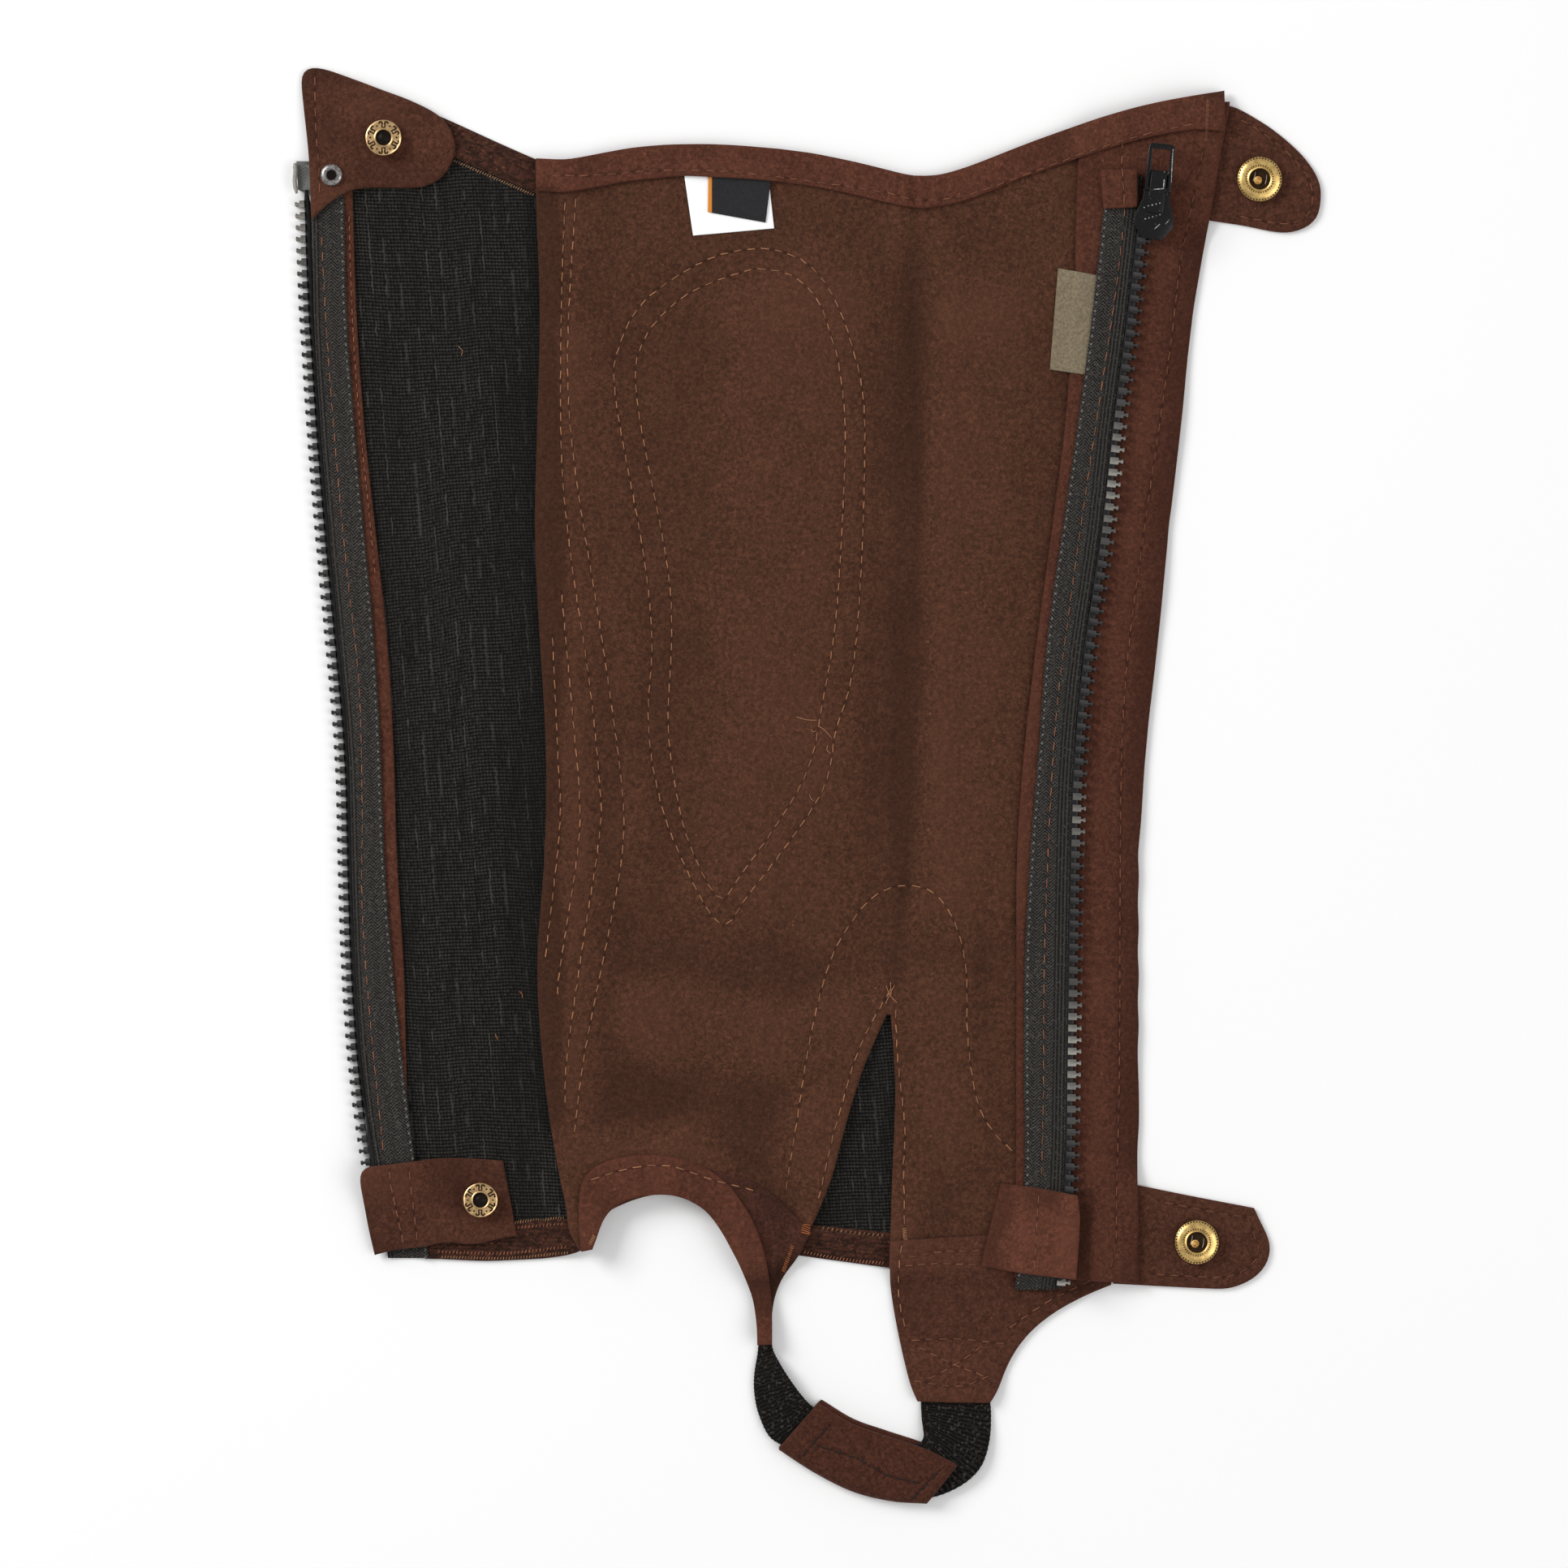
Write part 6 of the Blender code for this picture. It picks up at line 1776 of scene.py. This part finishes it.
def softened_copy(name, width):
    """Points and faces of a node's own shape with its edges rounded."""
    shape = bmesh.new()
    shape.from_mesh(NODES[name].data)
    bmesh.ops.remove_doubles(shape, verts=shape.verts, dist=WELD)
    bmesh.ops.dissolve_limit(shape, angle_limit=math.radians(2), verts=shape.verts[:], edges=shape.edges[:])
    edges = [e for e in shape.edges if len(e.link_faces) == 2 and e.calc_face_angle(0.0) > math.radians(25)]
    bmesh.ops.bevel(shape, geom=edges, offset=width * MM, segments=3, affect="EDGES", profile=0.5,
                    clamp_overlap=True)
    shape.verts.index_update()
    points = [tuple(v.co / MM) for v in shape.verts]
    faces = [tuple(v.index for v in f.verts) for f in shape.faces]
    shape.free()
    return points, faces


# Ridges with a painted highlight on the pull and the slider: node, radius and line
HIGHLIGHT_RIDGES = (
    ("zip_slider", 0.17, [(98.3, 169.6), (98.1, 167.0), (97.9, 164.6), (96.6, 164.5), (95.2, 164.4)]),
    ("zip_pull", 0.14, [(100.6, 175.6), (100.4, 173.0), (100.25, 170.0), (100.1, 166.4)]),
    ("zip_slider", 0.1, [(99.3, 169.4), (99.0, 163.0)]),
    ("zip_slider", 0.17, [(95.5, 153.6), (97.0, 155.0)]),
    ("zip_slider", 0.17, [(98.6, 155.0), (99.6, 156.2)]),
)

# Rows of plain dots on the slider, each with a painted highlight: first and last dot, and how many
DOT_ROWS = (((92.7, 159.6), (96.9, 160.6), 5), ((93.0, 156.4), (97.0, 157.6), 5))


def lay_slider():
    """The lacquered slider and its ring pull, which swings on the crown, with painted highlights on ridges
    and dots.
    """
    materials = (lacquer_finish(), painted_highlight_finish())
    for name, piece, width, body in (("zip_slider", "zip_slider_body", 0.35, "garment"),
                                     ("zip_pull", "zip_pull_ring", 0.3, "pull")):
        mesh = NODES[name].data
        tree = BVHTree.FromPolygons([v.co for v in mesh.vertices], [p.vertices for p in mesh.polygons])

        def level(x, y):
            hit = tree.ray_cast(Vector((x * MM, y * MM, 1.0)), Vector((0.0, 0.0, -1.0)))[0]
            return hit.z / MM if hit else None

        shape = Joined()
        shape.add(*softened_copy(name, width))
        for node, radius, line in HIGHLIGHT_RIDGES:
            path = [(x, y, level(x, y)) for x, y in line if level(x, y)]
            if node == name and len(path) > 1:
                shape.add(*bead(path, radius), kind=1)
        for first, last, count in DOT_ROWS if name == "zip_slider" else ():
            for k in range(count):
                x, y = (a + (b - a) * k / (count - 1) for a, b in zip(first, last))
                dot = turned([(0, 0.12), (0.16, 0.08), (0.24, -0.05), (0, -0.1)], 10)
                shape.add(*dot, (x, y, level(x, y)), 1)
        shape.piece(piece, materials, "lacquer", name, body=body)


def stitch_shape(length, radius, rise):
    """A sewn stitch along +X: a thread that comes out of one hole and goes into the next."""
    half = [(0.5, -rise), (0.42, -rise * 0.15), (0.2, rise * 0.25)]
    whole = [(-share, z) for share, z in half] + half[::-1]
    return bead([(length * share, 0, z) for share, z in whole], radius)


def place_stitch(thread, place, direction, shape, tilt, tone, sink):
    """Add one stitch on the cloth, turned along its lane and following the slope."""
    joined, tones = thread
    points, faces = shape
    x_axis = Vector(direction).normalized()
    x_axis.rotate(Matrix.Rotation(tilt, 2))
    y_axis = Vector((-x_axis.y, x_axis.x))
    here = pile.level(*place) - sink
    slope = (pile.level(*(place + x_axis)) - pile.level(*(place - x_axis))) / 2
    slope = max(-0.5, min(0.5, slope))
    laid = []
    for x, y, z in points:
        spot = place + x_axis * x + y_axis * y
        laid.append((spot.x, spot.y, here + z + slope * x))
    joined.add(laid, faces)
    tones += [tone] * len(points)


def sew():
    """All sewing as one joined mesh for each thread."""
    rng = random.Random(7)
    threads = {name: (Joined(), []) for name in THREADS}
    for row in all_sewing():
        for place, direction in walk(row.lane, row.pitch):
            length = row.pitch * (VISIBLE_SHARE + rng.uniform(-0.05, 0.06))
            shape = stitch_shape(length, THREADS[row.thread].radius * rng.uniform(0.9, 1.1), IN_LINE.rise)
            tone = rng.uniform(0.2, 1.0)
            tilt = IN_LINE.turn + rng.uniform(-0.09, 0.09)
            place_stitch(threads[row.thread], place, direction, shape, tilt, tone, IN_LINE.sink)
    crossing = [(row.thread, row.lane, row.pitch, row.length, 1.15, 0.25, ACROSS_EDGE) for row in OVERLOCKS]
    for bar in BARTACKS:
        lane = [(bar.x0, bar.y0), (bar.x1, bar.y1)]
        crossing.append((bar.thread, lane, BARTACK_PITCH, bar.width, 1.0, 0.3, ZIGZAG))
    for thread, lane, pitch, length, stout, darkest, lie in crossing:
        shape = stitch_shape(length, THREADS[thread].radius * stout, lie.rise)
        for place, direction in walk(lane, pitch):
            tilt = lie.turn + rng.uniform(-0.15, 0.15)
            place_stitch(threads[thread], place, direction, shape, tilt, rng.uniform(darkest, 1.0), lie.sink)
    for thread, line in LOOSE_THREADS:
        joined, tones = threads[thread]
        path = [(x, y, pile.level(x, y) + LOOSE_LIFT) for x, y in smooth_line(line, 0.35)]
        points, faces = bead(path, LOOSE_RADIUS)
        joined.add(points, faces)
        tones += [0.9] * len(points)
    for name, (joined, tones) in threads.items():
        mesh = mesh_of(name + "_sewing", joined.points, joined.faces)
        values_on(mesh, "tone", tones)
        rgb = from_screen(*THREADS[name].colour) if THREADS[name].colour else colours().thread
        new_piece(name + "_sewing", mesh, thread_finish(name, rgb), "binding_suede")


def set_stage():
    """Pale floor, soft studio light and the camera straight above."""
    stage = bpy.context.scene.half_chap_stage
    size = 6.0
    corners = [(-size, -size, 0), (size, -size, 0), (size, size, 0), (-size, size, 0)]
    mesh = bpy.data.meshes.new("floor")
    mesh.from_pydata(corners, [], [(0, 1, 2, 3)])
    floor = new_object("floor", mesh)
    finish = Finish("pale_floor", 0.9, specular_ior_level=0.1)
    colour = finish.mixed(finish.noise(3.0), toned(stage.floor, 0.985), stage.floor)
    mesh.materials.append(finish.colour(colour))
    lamps = (("key", (-1.5, 0.9, 1.3), stage.key, 1.0), ("fill", (1.3, -0.5, 1.6), stage.fill, 1.6))
    for name, place, power, width in lamps:
        lamp = bpy.data.lights.new(name, "AREA")
        lamp.energy = power
        lamp.size = width
        light = new_object(name, lamp)
        light.location = place
        light.rotation_euler = (-Vector(place)).to_track_quat("-Z", "Y").to_euler()
    world = bpy.data.worlds.new("studio")
    world.use_nodes = True
    background = world.node_tree.nodes["Background"]
    background.inputs["Color"].default_value = (1.0, 1.0, 1.0, 1.0)
    background.inputs["Strength"].default_value = stage.ambient
    bpy.context.scene.world = world
    bpy.context.scene.view_settings.view_transform = "Standard"
    camera_data = bpy.data.cameras.new("camera")
    camera_data.sensor_width = SENSOR
    camera_data.lens = SENSOR * VIEW_HEIGHT / VIEW_WIDTH
    camera = new_object("camera", camera_data)
    camera.location = (VIEW_CENTRE[0] * MM, VIEW_CENTRE[1] * MM, VIEW_HEIGHT * MM)
    bpy.context.scene.camera = camera


class HALFCHAP_OT_stage(bpy.types.Operator):
    """Add the floor, the lights and the camera"""
    bl_idname = "half_chap.stage"
    bl_label = "Stage"

    def execute(self, context):
        set_stage()
        return {"FINISHED"}


class HALFCHAP_OT_right_tabs(bpy.types.Operator):
    """Lay the two snap tabs on the right edge"""
    bl_idname = "half_chap.right_tabs"
    bl_label = "Right tabs"

    def execute(self, context):
        lay_suede("tab_top_right", "tab_bottom_right")
        return {"FINISHED"}


class HALFCHAP_OT_knit(bpy.types.Operator):
    """Lay the stretch panel and the gusset"""
    bl_idname = "half_chap.knit"
    bl_label = "Rib knit"

    def execute(self, context):
        lay_knit()
        return {"FINISHED"}


class HALFCHAP_OT_elastics(bpy.types.Operator):
    """Lay the woven elastics at the knit's edges"""
    bl_idname = "half_chap.elastics"
    bl_label = "Woven elastics"

    def execute(self, context):
        lay_elastics()
        return {"FINISHED"}


class HALFCHAP_OT_strap(bpy.types.Operator):
    """Lay the under-foot strap and its sleeve"""
    bl_idname = "half_chap.strap"
    bl_label = "Under-foot strap"

    def execute(self, context):
        lay_strap()
        lay_sleeve()
        return {"FINISHED"}


class HALFCHAP_OT_suede(bpy.types.Operator):
    """Lay the main panel, the yoke, the strap's root and the arch band"""
    bl_idname = "half_chap.suede"
    bl_label = "Suede panels"

    def execute(self, context):
        lay_suede("main_panel", "foot_yoke", "strap_root", "arch_band")
        return {"FINISHED"}


class HALFCHAP_OT_flap(bpy.types.Operator):
    """Lay the zip flap and the side label"""
    bl_idname = "half_chap.flap"
    bl_label = "Zip flap"

    def execute(self, context):
        lay_suede("zip_flap")
        lay_label("side_label", colours().label, 1.2, 0.15, (1300, 0.85, 1.0))
        return {"FINISHED"}


class HALFCHAP_OT_zip(bpy.types.Operator):
    """Lay the zip's strip, tapes and teeth"""
    bl_idname = "half_chap.zip"
    bl_label = "Zip"

    def execute(self, context):
        lay_suede("zip_strip_left")
        for half in ZIP_HALVES:
            lay_zip_half(half)
        return {"FINISHED"}


class HALFCHAP_OT_covers(bpy.types.Operator):
    """Lay the zip's end patches, the labels and the binding"""
    bl_idname = "half_chap.covers"
    bl_label = "Patches, labels and binding"

    def execute(self, context):
        lay_suede("zip_top_patch", "zip_bottom_patch")
        lay_label("care_label", from_screen(252, 252, 252), 1.0, 0.25, (900, 0.5, 0.08))
        orange = from_screen(206, 128, 40)
        lay_label("size_label", from_screen(28, 27, 30), 0.8, 0.25, (1100, 0.6, 1.0), orange)
        lay_suede("top_binding")
        return {"FINISHED"}


class HALFCHAP_OT_left_tabs(bpy.types.Operator):
    """Lay the two snap tabs on the left edge"""
    bl_idname = "half_chap.left_tabs"
    bl_label = "Left tabs"

    def execute(self, context):
        lay_suede("tab_top_left", "tab_bottom_left")
        return {"FINISHED"}


class HALFCHAP_OT_snaps(bpy.types.Operator):
    """Set the snaps and the eyelet"""
    bl_idname = "half_chap.snaps"
    bl_label = "Snaps and eyelet"

    def execute(self, context):
        lay_plain_hardware()
        lay_stud_backs()
        lay_sockets()
        return {"FINISHED"}


class HALFCHAP_OT_slider(bpy.types.Operator):
    """Set the slider and its pull"""
    bl_idname = "half_chap.slider"
    bl_label = "Slider and pull"

    def execute(self, context):
        lay_slider()
        return {"FINISHED"}


class HALFCHAP_OT_sewing(bpy.types.Operator):
    """Sew every row of stitches"""
    bl_idname = "half_chap.sewing"
    bl_label = "Sewing"

    def execute(self, context):
        sew()
        return {"FINISHED"}


OPERATORS = (HALFCHAP_OT_stage, HALFCHAP_OT_right_tabs, HALFCHAP_OT_knit, HALFCHAP_OT_elastics,
             HALFCHAP_OT_strap, HALFCHAP_OT_suede, HALFCHAP_OT_flap, HALFCHAP_OT_zip, HALFCHAP_OT_covers,
             HALFCHAP_OT_left_tabs, HALFCHAP_OT_snaps, HALFCHAP_OT_slider, HALFCHAP_OT_sewing)


class HALFCHAP_PT_panel(bpy.types.Panel):
    """The half chap's pieces, colours and sizes"""
    bl_idname = "HALFCHAP_PT_panel"
    bl_label = "Half Chap"
    bl_space_type = "VIEW_3D"
    bl_region_type = "UI"
    bl_category = "Half Chap"

    def draw(self, context):
        for group in (context.scene.half_chap_colours, context.scene.half_chap_sizes,
                      context.scene.half_chap_stage):
            box = self.layout.box()
            for name in group.__annotations__:
                box.prop(group, name)
        for operator in OPERATORS:
            self.layout.operator(operator.bl_idname)


GROUPS = {"half_chap_colours": HalfChapColours, "half_chap_sizes": HalfChapSizes,
          "half_chap_stage": HalfChapStage}


def register():
    """Register the groups, the operators and the panel."""
    for name, group in GROUPS.items():
        bpy.utils.register_class(group)
        setattr(bpy.types.Scene, name, bpy.props.PointerProperty(type=group))
    for operator in OPERATORS:
        bpy.utils.register_class(operator)
    bpy.utils.register_class(HALFCHAP_PT_panel)


def unregister():
    """Take everything out again."""
    bpy.utils.unregister_class(HALFCHAP_PT_panel)
    for operator in reversed(OPERATORS):
        bpy.utils.unregister_class(operator)
    for name, group in GROUPS.items():
        delattr(bpy.types.Scene, name)
        bpy.utils.unregister_class(group)


def main():
    """Make every piece in laying order."""
    register()
    for operator in OPERATORS:
        getattr(bpy.ops.half_chap, operator.bl_idname.split(".")[1])()


if __name__ == "__main__":
    main()
